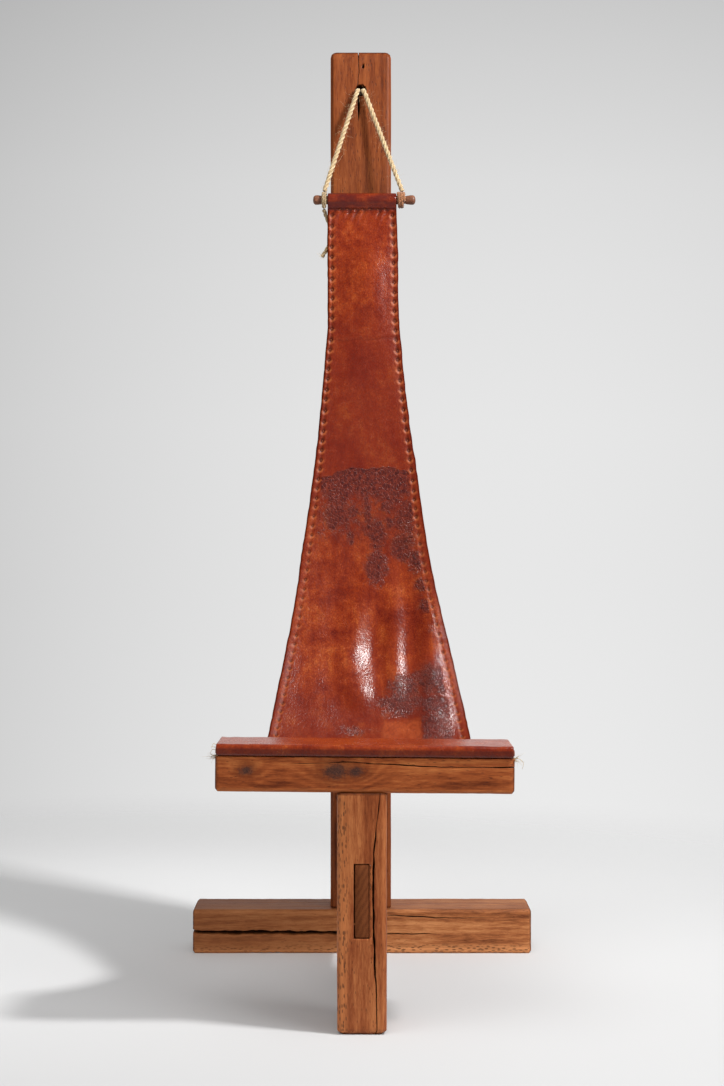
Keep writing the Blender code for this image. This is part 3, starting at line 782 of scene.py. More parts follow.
def build_crossbeam():
    low, high = CROSSBEAM
    surface = wood("crossbeam_wood", "X", (0.510, 0.210, 0.078), (0.310, 0.100, 0.031), (0.110, 0.028, 0.008),
                   (0, CROSSBEAM[0][1] - 0.05, 0.11), sapwood=("Z", 0.020, 0.008), contrast=1.1,
                   browner=("X", 0.02, -0.09))
    z = (low[2] + high[2]) / 2
    wide = split("-u", [(low[0], 0.0357 - z), (-0.20, 0.0350 - z), (-0.12, 0.0345 - z), (-0.04, 0.0338 - z),
                        (0.05, 0.0330 - z), (0.14, 0.0322 - z)],
                 0.0068, 0.032,
                 [(low[0], 0.88), (-0.20, 0.92), (-0.10, 0.90), (-0.04, 0.75), (0.03, 0.34), (0.10, 0.16),
                  (0.14, 0.0)])
    thin = split("-u", [(0.03, 0.0650 - z), (0.075, 0.0625 - z), (0.12, 0.0602 - z), (0.225, 0.0598 - z)],
                 0.0015, 0.006, [(0.03, 0.0), (0.06, 1.0), (0.16, 0.7), (0.225, 0.0)])
    top = split("+v", [(-0.20, 0.010), (0.0, 0.016), (0.18, 0.012)], 0.0014, 0.008,
                [(-0.20, 0.0), (-0.1, 1.0), (0.1, 0.6), (0.18, 0.0)])
    beam = bar("crossbeam_timber", low, high, "X", surface, cracks=(wide, thin, top), seed=51, rough=1.5,
               row=0.003, chamfer=0.0032)
    cut(beam, *peg_bores("post_peg"))
    assign(beam, "frame", "rear_crossbeam")


def build_stretcher():
    surface = wood("stretcher_wood", "Y", (0.400, 0.160, 0.072), (0.270, 0.092, 0.040), (0.140, 0.044, 0.021),
                   (0.03, 0, 0.05))
    low = (STRETCHER[0][0], LEG[1][1] + GAP, STRETCHER[0][2])
    high = (STRETCHER[1][0], POST_FRONT_Y - GAP, STRETCHER[1][2])
    crack = split("-u", [(-0.15, 0.008), (0.0, 0.012), (0.20, 0.006)], 0.0016, 0.010,
                  [(-0.15, 0.0), (-0.05, 1.0), (0.10, 0.7), (0.20, 0.0)])
    rail = bar("stretcher_timber", low, high, "Y", surface, cracks=(crack,), ends=(0, 0), seed=67)
    assign(rail, "frame", "stretcher")
    half = 0.010
    for name, start, end in (("front", FRONT_Y + 0.0006, LEG[1][1] + 0.004),
                             ("rear", POST_FRONT_Y - 0.004, POST_BACK_Y - 0.0004)):
        tongue = bar("stretcher_tenon_" + name, (-half, start, low[2]), (half, end, high[2]), "Y",
                     tenon_wood(), chamfer=0.0009, ends=(1, 1), seed=71)
        assign(tongue, "frame")


@cache
def tenon_wood():
    """End grain that has gone grey-brown, crossed by slanting growth rings."""
    s = Shader("tenon_end", specular=0.06)
    x, _, z = s.parts(s.place)
    wobble = s.times(s.math("SUBTRACT", s.noise(s.place, 70, 3), 0.5), 0.008)
    slanted = s.math("ADD", s.math("MULTIPLY_ADD", x, 0.85, s.times(z, -0.42)), wobble)
    rings = s.step(s.math("PINGPONG", s.math("DIVIDE", slanted, 0.0034), 1.0), 0.05, 0.95)
    speckle = s.noise(s.place, 800, 5, 0.75)
    tone = s.math("MULTIPLY_ADD", rings, 0.10, s.times(speckle, 0.90))
    colour = s.ramp(tone, ((0.30, (0.050, 0.013, 0.005)), (0.52, (0.130, 0.038, 0.013)),
                           (0.75, (0.210, 0.068, 0.023))))
    s.bump(tone, 0.0004, 0.8)
    return s.finish(colour, 0.85)


def build_pegs():
    s = Shader("peg_ends")
    speckle = s.noise(s.place, 1400, 4, 0.7)
    rings = s.noise(s.place, 420, 2, 0.5, 1.0)
    tone = s.math("MULTIPLY_ADD", speckle, 0.5, s.times(rings, 0.5))
    colour = s.ramp(tone, ((0.3, (0.065, 0.026, 0.014)), (0.7, (0.230, 0.100, 0.050))))
    s.bump(tone, 0.0003, 0.8)
    surface = s.finish(colour, 0.7)
    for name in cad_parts:
        if "_peg" in name:
            bpy.data.objects[name].material_slots[0].material = surface


# ---------------------------------------------------------------- the hide: route, width and relief

def arc(centre, radius, start, end, steps):
    """Points of an arc in the YZ plane; angles in degrees, 0 along +Y, 90 up."""
    angles = np.radians(np.linspace(start, end, steps + 1))
    return np.stack([centre[0] + radius * np.cos(angles), centre[1] + radius * np.sin(angles)], -1)


def sling_path():
    """The hide's middle line in the YZ plane: flap, sleeve, back, seat, over the beam, round its cord."""
    toggle_y, toggle_z = TOGGLE_CENTRE.y, TOGGLE_CENTRE.z
    flap = np.array([(toggle_y + 0.0030, toggle_z - 0.036), (toggle_y + 0.0032, toggle_z - 0.020)])
    sleeve = arc((toggle_y, toggle_z), TOGGLE_RADIUS + 2 * GAP + HIDE / 2, -38, 218, 40)
    top = BEAM_TOP + GAP + HIDE / 2
    drape = [(toggle_y - 0.0014, toggle_z - 0.021), (FRONT_Y + 0.5170, toggle_z - 0.040),
             (FRONT_Y + 0.5090, 1.130), (FRONT_Y + 0.4970, 1.000), (FRONT_Y + 0.4750, 0.800),
             (FRONT_Y + 0.4460, 0.615), (FRONT_Y + 0.4060, 0.505), (FRONT_Y + 0.3000, 0.372),
             (FRONT_Y + 0.2350, 0.334), (FRONT_Y + 0.1760, 0.346), (BEAM_BACK + 0.0260, top - 0.0170),
             (BEAM_BACK + 0.0030, top - 0.0022), (BEAM_BACK - 0.0042, top)]
    body = smooth_curve(drape, 24)
    turn = 0.0045
    front = FRONT_Y - GAP - HIDE / 2
    enter = BEAM_TOP - KERF_DROP + HEM_ENTRY
    over = [np.array([(FRONT_Y + 0.060, top), (FRONT_Y + 0.030, top)]),
            arc((front + turn, top - turn), turn, 90, 180, 10),
            arc((front + 0.0022, enter + 0.0022), 0.0022, 180, 270, 6),
            np.array([(FRONT_Y + KEYWAY_DEPTH / 2, enter)]),
            arc((FRONT_Y + KEYWAY_DEPTH, enter - HEM_TURN), HEM_TURN, 90, -175, 24)]
    return np.concatenate([flap, sleeve, body, *over])


class Hide:
    """The sling as rows along its route and columns across it; every piece on it asks it for places."""

    HALF_WIDTHS = ((0.372, 0.161), (0.438, 0.1485), (0.516, 0.1324), (0.596, 0.1165), (0.700, 0.0995),
                   (0.804, 0.0853), (0.870, 0.0768), (0.953, 0.0680), (1.000, 0.0638), (1.040, 0.0603),
                   (1.090, 0.0588), (1.180, 0.0588), (1.260, 0.0570))
    DRIFTS = ((0.372, 0.0110), (0.500, 0.0098), (0.596, 0.0073), (0.680, 0.0052), (0.804, 0.0054),
              (0.953, 0.0030), (1.040, 0.0024), (1.260, 0.0000))

    def __init__(self):
        path = sling_path()
        steps = np.diff(path, axis=0)
        angle = np.unwrap(np.arctan2(steps[:, 1], steps[:, 0]))
        lengths = np.linalg.norm(steps, axis=1)
        bends = np.abs(np.diff(angle)) / (lengths[1:] + lengths[:-1]) * 2
        bends = np.concatenate([[0], bends, [0]])
        self.line = resampled(path, 1 + np.clip(bends / 80, 0, 1.2), 0.0021)
        ahead = unit(np.gradient(self.line, axis=0))
        self.facing = np.stack([ahead[:, 1], -ahead[:, 0]], -1)
        self.along = travelled(self.line)
        y, z = self.line[:, 0], self.line[:, 1]
        seat_y = FRONT_Y + 0.300
        on_back = through(z, self.HALF_WIDTHS)
        on_seat = 0.161 + (0.2085 - 0.161) * ease((seat_y - y) / (seat_y - BEAM_BACK), 0, 1)
        below = (y < seat_y) & (z < 0.60)
        self.half = np.where(below, on_seat, on_back)
        self.roll = np.where(z < 0.60, np.clip(1 - (y - BEAM_BACK) / 0.16, 0, 1), 0.0)
        rolled_share = ease(self.roll, 0.0, 1.0)
        drift = through(np.where(below, 0.372, z), self.DRIFTS)
        self.centre = drift * (1 - rolled_share) + BEAM_CENTRE.x * rolled_share
        rise = np.where(z > 0.40, np.clip((1.00 - z) / 0.45, 0, 1), 1.0)
        ahead_of_beam = np.clip((y - BEAM_BACK - 0.01) / 0.12, 0, 1)
        self.cup = 0.014 * rise * ahead_of_beam
        self.in_sleeve = ease(z, TOGGLE_CENTRE.z - 0.0205, TOGGLE_CENTRE.z - 0.0130)
        self.on_beam = ease(y, BEAM_BACK + 0.012, BEAM_BACK - 0.004) * (z < 0.45)
        first_back = np.argmax(self.along > self.along[0] + 0.075)
        self.seam_row = first_back + np.argmin(np.abs(z[first_back:first_back + 60]
                                                      - (TOGGLE_CENTRE.z - 0.0158)))
        self.seam = self.along[self.seam_row]
        self.seat_end = self.along[np.argmax(self.on_beam > 0.02)]
        self.stitches = {side: self.stitch_row(side) for side in (-1, 1)}

    def stitch_row(self, side):
        """Each stitch of one edge: (place along the hide, distance in from the edge, depth)."""
        chance = np.random.default_rng(5 + side)
        place, made = self.seam + 0.010, []
        while place < self.seat_end - 0.012:
            z = np.interp(place, self.along, self.line[:, 1])
            upper = float(ease(z, 0.62, 0.95))
            inset = 0.0125 - 0.0052 * upper + chance.normal(0, 0.0004)
            depth = (0.0008 + 0.0007 * upper) * chance.uniform(0.7, 1.25)
            made.append((place, inset, depth))
            place += (0.0150 + 0.0018 * upper) * chance.uniform(0.88, 1.12)
        return made

    def at(self, along):
        """Middle point, facing, half width, centre, cup and roll at a place along the hide."""
        def value(array):
            return np.interp(along, self.along, array)
        point = np.stack([value(self.line[:, 0]), value(self.line[:, 1])], -1)
        facing = np.stack([value(self.facing[:, 0]), value(self.facing[:, 1])], -1)
        return point, unit(facing), value(self.half), value(self.centre), value(self.cup), value(self.roll)

    def place(self, along, across, lift):
        """Points on the hide: metres along it, metres across from its middle, metres above its middle."""
        along, across, lift = np.broadcast_arrays(along, across, lift)
        point, facing, half, centre, cup, roll = self.at(along)
        x = centre + across
        bowl = 1 - np.clip(across / half, -1, 1) ** 2
        raised = lift - cup * bowl + self.folds(along, across, half)
        y = point[..., 0] + facing[..., 0] * raised
        z = point[..., 1] + facing[..., 1] * raised - roll * beam_drop(x)
        return np.stack([x, y, z], -1)

    def folds(self, along, across, half):
        """Slow folds that sitting has left in the hide, in metres towards the sitter."""
        z = np.interp(along, self.along, self.line[:, 1])
        y = np.interp(along, self.along, self.line[:, 0])
        on_back = (y > FRONT_Y + STOCK_WIDE + 0.05) * ease(z, TOGGLE_CENTRE.z - 0.03, TOGGLE_CENTRE.z - 0.12)
        total = np.zeros(np.broadcast(along, across).shape)
        for centre, lean, width, height, foot in FOLDS:
            middle = centre + lean * (np.hypot(z - 0.50, 0.03) - 0.03)
            low = ease(z, 0.68, 0.53) * ease(z, foot, foot + 0.050)
            total = total + height * bell(across - middle, width) * low
        high = ease(z, 0.62, 0.90)
        total = total - 0.0040 * high * (across / half) ** 2
        total = total + 0.0052 * spot(across, z, 0.010, 1.135, 0.030, 0.085)
        total = total + noise_over(across, along, 0, (0.060, 0.110, 1), 5, 2) * 0.0016 * (1 - 0.5 * high)
        total = total + noise_over(across, along, 0, (0.020, 0.034, 1), 8, 2) * 0.00035
        return total * on_back


# Vertical folds low in the back: (middle in metres from the hide's centre, lean, width, height,
# foot, the height above the floor where it ends).
FOLDS = ((-0.029, 0.34, 0.030, 0.0122, 0.414), (0.041, 0.02, 0.021, 0.0110, 0.418),
         (0.100, 0.02, 0.027, 0.0122, 0.372), (-0.080, 0.05, 0.022, 0.0030, 0.402))


def relief(hide, along, across, half):
    """What stands above or below the hide's smooth front: hems, stitches, puckers and the seam; also
    a painted highlight ring round each stitch dent, brightest on its lower rim.
    """
    from_edge = half - np.abs(across)
    height = np.zeros(np.broadcast(along, across).shape)
    rings = np.zeros_like(height)
    z = np.interp(along, hide.along, hide.line[:, 1])
    upper = ease(z, 0.62, 0.95)
    inset = 0.0125 - 0.0052 * upper
    hemmed = ease(along, hide.seam - 0.001, hide.seam + 0.008)
    hemmed = hemmed * ease(along, hide.seat_end + 0.02, hide.seat_end)
    puff = bell(from_edge - inset * 0.45, inset * 0.42) * (0.00025 + 0.00035 * upper)
    furrow = bell(from_edge - inset, 0.0024) * (0.00055 + 0.00035 * upper)
    height = height + (puff - furrow) * hemmed
    for side, stitches in hide.stitches.items():
        mine = np.sign(across) == side
        for place, stitch_inset, depth in stitches:
            rows = np.where(np.abs(along[:, 0] - place) < 0.014)[0]
            down = along[rows] - place
            over = from_edge[rows] - stitch_inset
            wide = 0.0029 + 0.0009 * upper[rows]
            tall = 0.0033 + 0.0009 * upper[rows]
            dent = np.exp(-((over / wide) ** 2 + (down / tall) ** 2) ** 1.4)
            rim = bell(over, wide * 1.5) * bell(down - tall * 1.35, tall * 0.50)
            pull = bell(down, 0.0022) * ease(over, 0.003, -0.004) * 0.30
            change = -depth * (dent + pull) + depth * (0.10 + 0.32 * upper[rows]) * rim
            height[rows] += np.where(mine[rows], change, 0.0)
            # A painted highlight: a ring round the stitch dent, bright on its lower rim and faint above.
            span = np.sqrt((over / wide) ** 2 + (down / tall) ** 2)
            ring = bell(span - 1.25, 0.42) * (0.55 + 0.45 * np.sign(down))
            rings[rows] = np.maximum(rings[rows], np.where(mine[rows], ring, 0.0))
    past = along - hide.seam
    gathers = np.cos(2 * np.pi * (across + 0.45 * past) / SEAM_PITCH) * np.exp(-np.clip(past, 0, 1) / 0.012)
    pull = 0.35 + 0.5 * noise_over(across, 0, 0, 0.016, 91, 2)
    pull = pull + 1.1 * bell(across + 0.014, 0.012) + bell(across - 0.029, 0.007)
    height = height + 0.0017 * pull * gathers * (past > 0) * ease(past, 0.0, 0.003)
    crease = (z - 1.025 - 0.05 * across) + noise_over(across, 0, 0, 0.012, 97, 2) * 0.0016
    height = height - 0.0007 * bell(crease, 0.0020) * (along > hide.seam)
    seam_furrow = bell(past, 0.0022) * 0.0011
    dents = np.zeros_like(height)
    for centre in seam_places(hide):
        dents += np.exp(-(((across - centre) / 0.0026) ** 2 + ((past - 0.0004) / 0.0022) ** 2))
    on_beam = np.interp(along, hide.along, hide.on_beam)
    height = height + on_beam * noise_over(across, along, 0, (0.011, 0.020, 1), 95) * 0.00034
    height = height - seam_furrow - 0.0013 * dents
    return height, rings


SEAM_PITCH = 0.0125


def seam_places(hide):
    half = hide.half[hide.seam_row] - 0.010
    count = int(2 * half / SEAM_PITCH)
    return [(index - (count - 1) / 2) * SEAM_PITCH for index in range(count)]


def build_sling(hide):
    edge = np.concatenate([[0.0, 0.0004, 0.0011, 0.0021], np.arange(0.0033, 0.0205, 0.00125)])
    middle = np.linspace(-1, 1, 34)[1:-1]
    across = np.array([np.concatenate([-half + edge, middle * (half - edge[-1]), half - edge[::-1]])
                       for half in hide.half])
    row_count, count = across.shape

    def widened(values):
        return np.repeat(values[:, None], count, 1)

    along, half = widened(hide.along), widened(hide.half)
    from_edge = half - np.abs(across)
    loose = 1 - widened(np.maximum(hide.on_beam, hide.in_sleeve))
    ripple = noise_over(0, along, np.sign(across), (1, 0.018, 0.7), 31, 2) * 0.0007
    across = across + np.sign(across) * ripple * ease(from_edge, 0.02, 0.0) * loose

    round_off = np.sqrt(np.clip(1 - (1 - np.clip(from_edge / 0.0022, 0, 1)) ** 2, 0.01, 1))
    grown, rings = relief(hide, along, across, half)
    front_lift = (HIDE / 2) * round_off + grown * round_off
    hem = ease(from_edge, 0.0195, 0.0175) * loose
    hem = hem * ease(along, hide.seam, hide.seam + 0.012)
    hem = hem * ease(along, hide.seat_end + 0.01, hide.seat_end - 0.02)
    back_lift = -(HIDE / 2) * round_off - 0.0019 * hem * round_off + 0.5 * grown * round_off
    back_lift = np.where(widened(hide.on_beam > 0.9), -(HIDE / 2) * round_off, back_lift)

    front = hide.place(along, across, front_lift)
    back = hide.place(along, across, back_lift)
    grid = np.concatenate([front, back[:, ::-1]], axis=1)
    faces = grid_faces(row_count, 2 * count)
    for base in (0, (row_count - 1) * 2 * count):
        for column in range(count - 1):
            faces.append([base + column, base + column + 1, base + 2 * count - 2 - column,
                          base + 2 * count - 1 - column])
    mesh = mesh_of("sling_hide", grid, faces)
    sling = new_object("sling_hide", mesh, leather())

    def on_both(values):
        return np.concatenate([values, values[:, ::-1]], 1)

    def on_front(values):
        return np.concatenate([values, np.zeros_like(values)], 1)

    side = 1 - on_front(np.ones_like(across))
    place = np.stack([on_both(across), on_both(along), side * 0.7], -1)
    add_values(mesh, "hide_place", place, "FLOAT_VECTOR")
    masks = patches(hide, on_both(along), on_both(across))
    # Painted shade goes into the relief's dents and furrows; a painted highlight rings each stitch dent.
    masks.update(flesh_side=side, hem=on_both(ease(from_edge, 0.020, 0.012) * loose),
                 burnished=on_both(ease(from_edge, 0.0046, 0.0010) * loose),
                 hollow=on_front(ease(-grown, 0.0003, 0.0013)), ring=on_front(rings))
    for name, values in masks.items():
        add_values(mesh, name, values)
    bind(sling, "sling")


def bind(piece, node):
    """The hide and its threads hang between the frame and the bail; this bakes each one's placement into its
    mesh and hides the CAD node it stands in for.
    """
    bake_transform(piece)
    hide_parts(node)


def spot(across, z, centre, height, wide, tall):
    return np.exp(-((across - centre) / wide) ** 2 - ((z - height) / tall) ** 2)


def streak(across, z, start, end, wide):
    """A soft line between two (across, height) points."""
    start, end = np.array(start), np.array(end)
    step = end - start
    share = np.clip(((across - start[0]) * step[0] + (z - start[1]) * step[1]) / (step @ step), 0, 1)
    gap = np.hypot(across - start[0] - share * step[0], z - start[1] - share * step[1])
    return bell(gap, wide)


def patches(hide, along, across):
    """Masks of where the hide has darkened and crackled, bleached, or been darkened by handling;
    also painted shade down the hide's front over the seat beam and a painted highlight on its top.
    """
    z = np.interp(along, hide.along, hide.line[:, 1])
    y = np.interp(along, hide.along, hide.line[:, 0])
    half = np.interp(along, hide.along, hide.half)
    on_back = (y > FRONT_Y + 0.20).astype(float)
    share = across / half

    brink = 0.812 - 0.014 * ease(-share, 0.30, 0.80) - 0.004 * ease(share, 0.5, 0.9)
    brink = brink + noise_over(across, 0, 0, 0.011, 41) * 0.0020
    upper_edge = ease(z, brink + 0.0012, brink - 0.0016)
    inside = ease(np.abs(share), 0.88, 0.80)
    band = upper_edge * ease(z, 0.752, 0.798) * inside
    dark = 1.05 * band
    dark = np.maximum(dark, 0.36 * upper_edge * ease(z, 0.655, 0.72) * inside)
    for centre, height, wide, tall, strength in (
            (-0.045, 0.780, 0.028, 0.034, 1.15), (-0.052, 0.735, 0.019, 0.032, 0.9),
            (0.038, 0.784, 0.038, 0.030, 1.15), (0.038, 0.750, 0.016, 0.012, 0.95),
            (0.070, 0.742, 0.016, 0.022, 1.0), (-0.020, 0.741, 0.012, 0.011, 0.9),
            (0.046, 0.724, 0.024, 0.011, 0.75), (0.020, 0.706, 0.016, 0.028, 0.95),
            (0.060, 0.684, 0.019, 0.023, 1.0), (0.018, 0.652, 0.016, 0.030, 1.25),
            (0.090, 0.662, 0.022, 0.030, 0.75), (0.098, 0.620, 0.020, 0.018, 0.75),
            (0.100, 0.585, 0.017, 0.013, 1.0), (0.112, 0.552, 0.014, 0.022, 0.7),
            (0.120, 0.520, 0.012, 0.030, 0.8), (0.056, 0.462, 0.026, 0.018, 1.0),
            (0.112, 0.470, 0.038, 0.024, 1.0), (0.050, 0.438, 0.032, 0.018, 0.95),
            (-0.028, 0.402, 0.034, 0.010, 0.48)):
        dark = np.maximum(dark, strength * spot(across, z, centre, height, wide, tall) * upper_edge * inside)
    for start, end, wide, strength in (((-0.006, 0.806), (0.008, 0.718), 0.0055, 0.95),
                                       ((-0.036, 0.744), (-0.022, 0.690), 0.0050, 0.8),
                                       ((0.066, 0.800), (0.076, 0.700), 0.0060, 0.5)):
        dark = np.maximum(dark, strength * streak(across, z, start, end, wide))
    corner = ease(across, 0.078, 0.088) * ease(z, 0.452, 0.436)
    dark = np.maximum(dark, corner * 0.62 * inside)
    bleached = ease(across, 0.018, 0.030) * ease(across, 0.083, 0.078)
    bleached = bleached * ease(z, 0.419, 0.411) * ease(z, 0.372, 0.380)
    dark = dark * (1 - 0.9 * bleached)
    seat = 1 - on_back
    under = noise_over(across, along, 0, 0.05, 61)
    loose = 1 - np.interp(along, hide.along, hide.on_beam)
    dark = dark * on_back + seat * loose * np.clip(0.35 + 0.5 * under, 0, 0.8) * (across > 0.02)
    handled = np.interp(along, hide.along, hide.in_sleeve) * (along < hide.seam + 0.004)
    grip = noise_over(across, along, 0, (0.016, 0.007, 1), 71)
    handled = handled * np.clip(0.55 + 0.55 * grip + 0.35 * ease(-across, -0.01, 0.05), 0, 1)
    # Painted shade on the hide where it turns down the front face of the seat beam.
    shaded_front_band = ease(z, BEAM_TOP - 0.0015, BEAM_TOP - 0.0045)
    shaded_front_band = shaded_front_band * (y < FRONT_Y + 0.002) * (z < 0.45)
    rim = bell(z - brink, 0.0013) * inside * on_back
    deep = np.maximum(ease(z, 1.12, 1.02) * ease(z, 0.66, 0.80), 0.9 * ease(z, 0.465, 0.425)) * on_back
    glossy = ease(z, 0.60, 0.52)
    crinkled = spot(across, z, 0.110, 0.460, 0.044, 0.036)
    crinkled = (crinkled + 0.7 * streak(across, z, (0.072, 0.720), (0.112, 0.540), 0.014)) * on_back
    return {"dark": np.clip(dark, 0, 1.2), "bleached": bleached * on_back, "handled": handled,
            "shaded_front_band": shaded_front_band, "rim": rim, "deep": deep, "crinkled": crinkled,
            "glossy": glossy, "beam_top_highlight": (1 - loose) * (y > FRONT_Y + 0.002) * (z > 0.39)}


def leather():
    """Glossy vegetable-tanned hide: mottled red-brown, worn orange, crackled where it has darkened."""
    s = Shader("hide")
    flat = s.attribute("hide_place", "Vector")
    dark = s.attribute("dark")
    handled = s.attribute("handled")
    bleached = s.attribute("bleached")
    hollow = s.attribute("hollow")
    flesh = s.attribute("flesh_side")

    clouds = s.noise(flat, 16, 5, 0.62, 0.4)
    mottle = s.noise(flat, 70, 5, 0.65)
    streaks = s.noise(s.scaled(flat, (1, 0.16, 1)), 95, 4, 0.6, 0.5)
    cells = s.cells(s.scaled(flat, (1.0, 1.15, 1)), 760)
    grain = s.noise(s.scaled(flat, (1, 0.55, 1)), 620, 4, 0.7, 0.4)
    tone = s.vary(clouds, 1.15, 0.5)
    tone = s.vary(mottle, 0.60, tone)
    tone = s.vary(streaks, 0.45, tone)
    tone = s.vary(grain, 0.95, tone)
    tone = s.math("MULTIPLY_ADD", cells, 0.20, s.math("SUBTRACT", tone, 0.07), clamp=True)
    colour = s.ramp(tone, ((0.05, (0.062, 0.004, 0.001)), (0.36, (0.130, 0.009, 0.001)),
                           (0.64, (0.222, 0.026, 0.003)), (0.95, (0.355, 0.076, 0.011))))
    colour = s.tint(colour, s.attribute("deep"), 0.55, (0.120, 0.008, 0.002))
    colour = s.tint(colour, bleached, 0.45,
                   s.ramp(mottle, ((0.3, (0.300, 0.050, 0.010)), (0.7, (0.440, 0.090, 0.020)))))
    colour = s.tint(colour, handled, 0.85, (0.060, 0.006, 0.005))

    grains = s.cells(s.scaled(flat, (1.0, 0.8, 1)), 290)
    colour = s.tint(colour, s.step(grains, 0.42, 0.85), 0.30, (0.090, 0.008, 0.002))
    ragged = s.noise(flat, 62, 7, 0.76, 0.5)
    reach = s.math("MINIMUM", s.math("MULTIPLY_ADD", dark, 5.0, 0.08), 2.1)
    worn = s.vary(ragged, reach, dark)
    worn = s.step(worn, 0.16, 0.74)
    wander = s.noise(flat, 210, 2, output="Color")
    shifted = s.vector_math("ADD", flat, s.shrunk(wander, 0.0045))
    flakes = s.cells(s.scaled(shifted, (1.15, 0.8, 1)), 165, "DISTANCE_TO_EDGE")
    crackle = s.step(flakes, 0.15, 0.01)
    flake_tone = s.ramp(s.noise(flat, 130, 6, 0.75), (
        (0.38, (0.030, 0.007, 0.008)), (0.50, (0.064, 0.013, 0.012)), (0.64, (0.130, 0.022, 0.014))))
    colour = s.tint(colour, worn, 0.88, flake_tone)
    colour = s.tint(colour, s.times(worn, crackle), 0.5, (0.180, 0.026, 0.010))
    # Painted shade in the dents and furrows of the relief.
    colour = s.tint(colour, hollow, 0.72, (0.040, 0.005, 0.003))
    # Painted highlight on the lower rim of each stitch dent.
    colour = s.tint(colour, s.attribute("ring"), 0.50, (0.420, 0.110, 0.030))
    burnished = s.attribute("burnished")
    colour = s.tint(colour, burnished, 0.80, (0.055, 0.007, 0.003))
    # Painted shade down the hide's front over the seat beam.
    colour = s.tint(colour, s.attribute("shaded_front_band"), 0.62, (0.048, 0.006, 0.003))
    # Painted light: the hide lying on top of the seat beam is tinted lighter, as if lit from above.
    colour = s.tint(colour, s.attribute("beam_top_highlight"), 0.28, (0.420, 0.066, 0.012))
    rim = s.attribute("rim")
    colour = s.tint(colour, rim, 0.35, (0.030, 0.007, 0.007))
    back_tone = s.ramp(s.noise(flat, 130, 5, 0.7),
                       ((0.3, (0.150, 0.055, 0.026)), (0.7, (0.290, 0.125, 0.060))))
    colour = s.tint(colour, flesh, 0.85, back_tone)

    pebble = s.math("MULTIPLY_ADD", grain, 0.14, s.times(cells, 0.10))
    soft = s.times(s.noise(flat, 190, 3, 0.55), 0.16)
    height = s.math("ADD", pebble, soft)
    height = s.math("MULTIPLY_ADD", grains, -0.20, height)
    plates = s.times(worn, s.math("SUBTRACT", 1.0, crackle))
    crinkled = s.attribute("crinkled")
    plate_height = s.math("MULTIPLY_ADD", crinkled, 1.10, 0.40)
    height = s.math("MULTIPLY_ADD", plates, plate_height, height)
    ripples = s.noise(s.scaled(flat, (0.8, 1.9, 1)), 170, 3, 0.6, 1.2)
    loose_grain = s.math("MULTIPLY_ADD", s.attribute("shaded_front_band"), 0.25, crinkled)
    height = s.math("MULTIPLY_ADD", s.times(loose_grain, ripples), 1.6, height)
    height = s.math("MULTIPLY_ADD", rim, s.noise(flat, 300, 3), height)
    s.bump(height, 0.001, 1.0)
    rough = s.vary(mottle, 0.18, 0.25)
    rough = s.math("MULTIPLY_ADD", s.attribute("hem"), 0.20, rough)
    rough = s.math("MULTIPLY_ADD", worn, 0.05, rough)
    rough = s.math("MULTIPLY_ADD", flesh, 0.42, rough, clamp=True)
    dull = s.times(worn, s.math("SUBTRACT", 1.0, s.attribute("glossy")))
    shine = s.math("MULTIPLY_ADD", dull, -0.28, 0.44)
    shine = s.math("MULTIPLY_ADD", s.attribute("hem"), -0.22, shine)
    shine = s.math("MULTIPLY_ADD", crinkled, 0.30, shine)
    rough = s.math("MULTIPLY_ADD", crinkled, -0.09, rough)
    shine = s.math("MULTIPLY_ADD", burnished, -0.28, shine, clamp=True)
    s.set("Specular IOR Level", shine)
    return s.finish(colour, rough)


# ---------------------------------------------------------------- threads on the hide

@cache
def thread_material():
    s = Shader("waxed_thread", specular=0.12)
    twist = s.noise(s.place, 2600, 2, 0.5)
    colour = s.ramp(twist, ((0.3, (0.110, 0.024, 0.009)), (0.7, (0.290, 0.080, 0.034))))
    s.bump(twist, 0.0002, 0.7)
    return s.finish(colour, 0.75)


def bead(centre, direction, up, length, radius):
    """One stitch: a short plump bead of thread that dives at both ends."""
    rings, sides = 7, 8
    side = np.cross(direction, up)
    made = []
    for ring in range(rings):
        t = -1 + 2 * ring / (rings - 1)
        girth = radius * math.sqrt(max(1 - abs(t) ** 2.6, 0.04))
        middle = centre + direction * (t * length / 2) - up * (t * t) * radius * 1.1
        for index in range(sides):
            angle = 2 * math.pi * index / sides
            made.append(middle + girth * (side * math.cos(angle) + up * math.sin(angle)))
    return np.array(made), capped_faces(rings, sides)


def joined_mesh(name, shapes, surface):
    points, faces, base = [], [], 0
    for shape_points, shape_faces in shapes:
        points.append(shape_points)
        faces += [[index + base for index in face] for face in shape_faces]
        base += len(shape_points)
    return new_object(name, mesh_of(name, np.concatenate(points), faces), surface)


def hide_basis(hide, along, across, lift):
    """A place on the hide with its directions down the hide, across it and out of it."""
    here = hide.place(along, across, lift)
    on = hide.place(along + 0.001, across, lift)
    aside = hide.place(along, across + 0.001, lift)
    direction, sideways = unit(on - here), unit(aside - here)
    up = np.cross(sideways, direction)
    return here, direction, sideways, unit(up * np.sign(up @ np.array([0, -1.0, 0.3])))


def build_edge_lacing(hide, side, name, node):
    shapes = []
    for place, inset, depth in hide.stitches[side]:
        half = np.interp(place, hide.along, hide.half)
        lift = HIDE / 2 - depth - 0.0006
        here, down, aside, up = hide_basis(hide, place, side * (half - inset), lift)
        shapes.append(bead(here + up * 0.0004, down, up, 0.0038, 0.00075))
    lacing = joined_mesh(name, shapes, thread_material())
    bind(lacing, node)


def build_sleeve_stitching(hide):
    shapes = []
    for centre in seam_places(hide):
        here, down, aside, up = hide_basis(hide, hide.seam, centre, HIDE / 2 - 0.0022)
        shapes.append(bead(here + up * 0.0006, aside, up, 0.0046, 0.0008))
    stitching = joined_mesh("sleeve_stitches", shapes, thread_material())
    bind(stitching, "sleeve_stitching")


# ---------------------------------------------------------------- rope

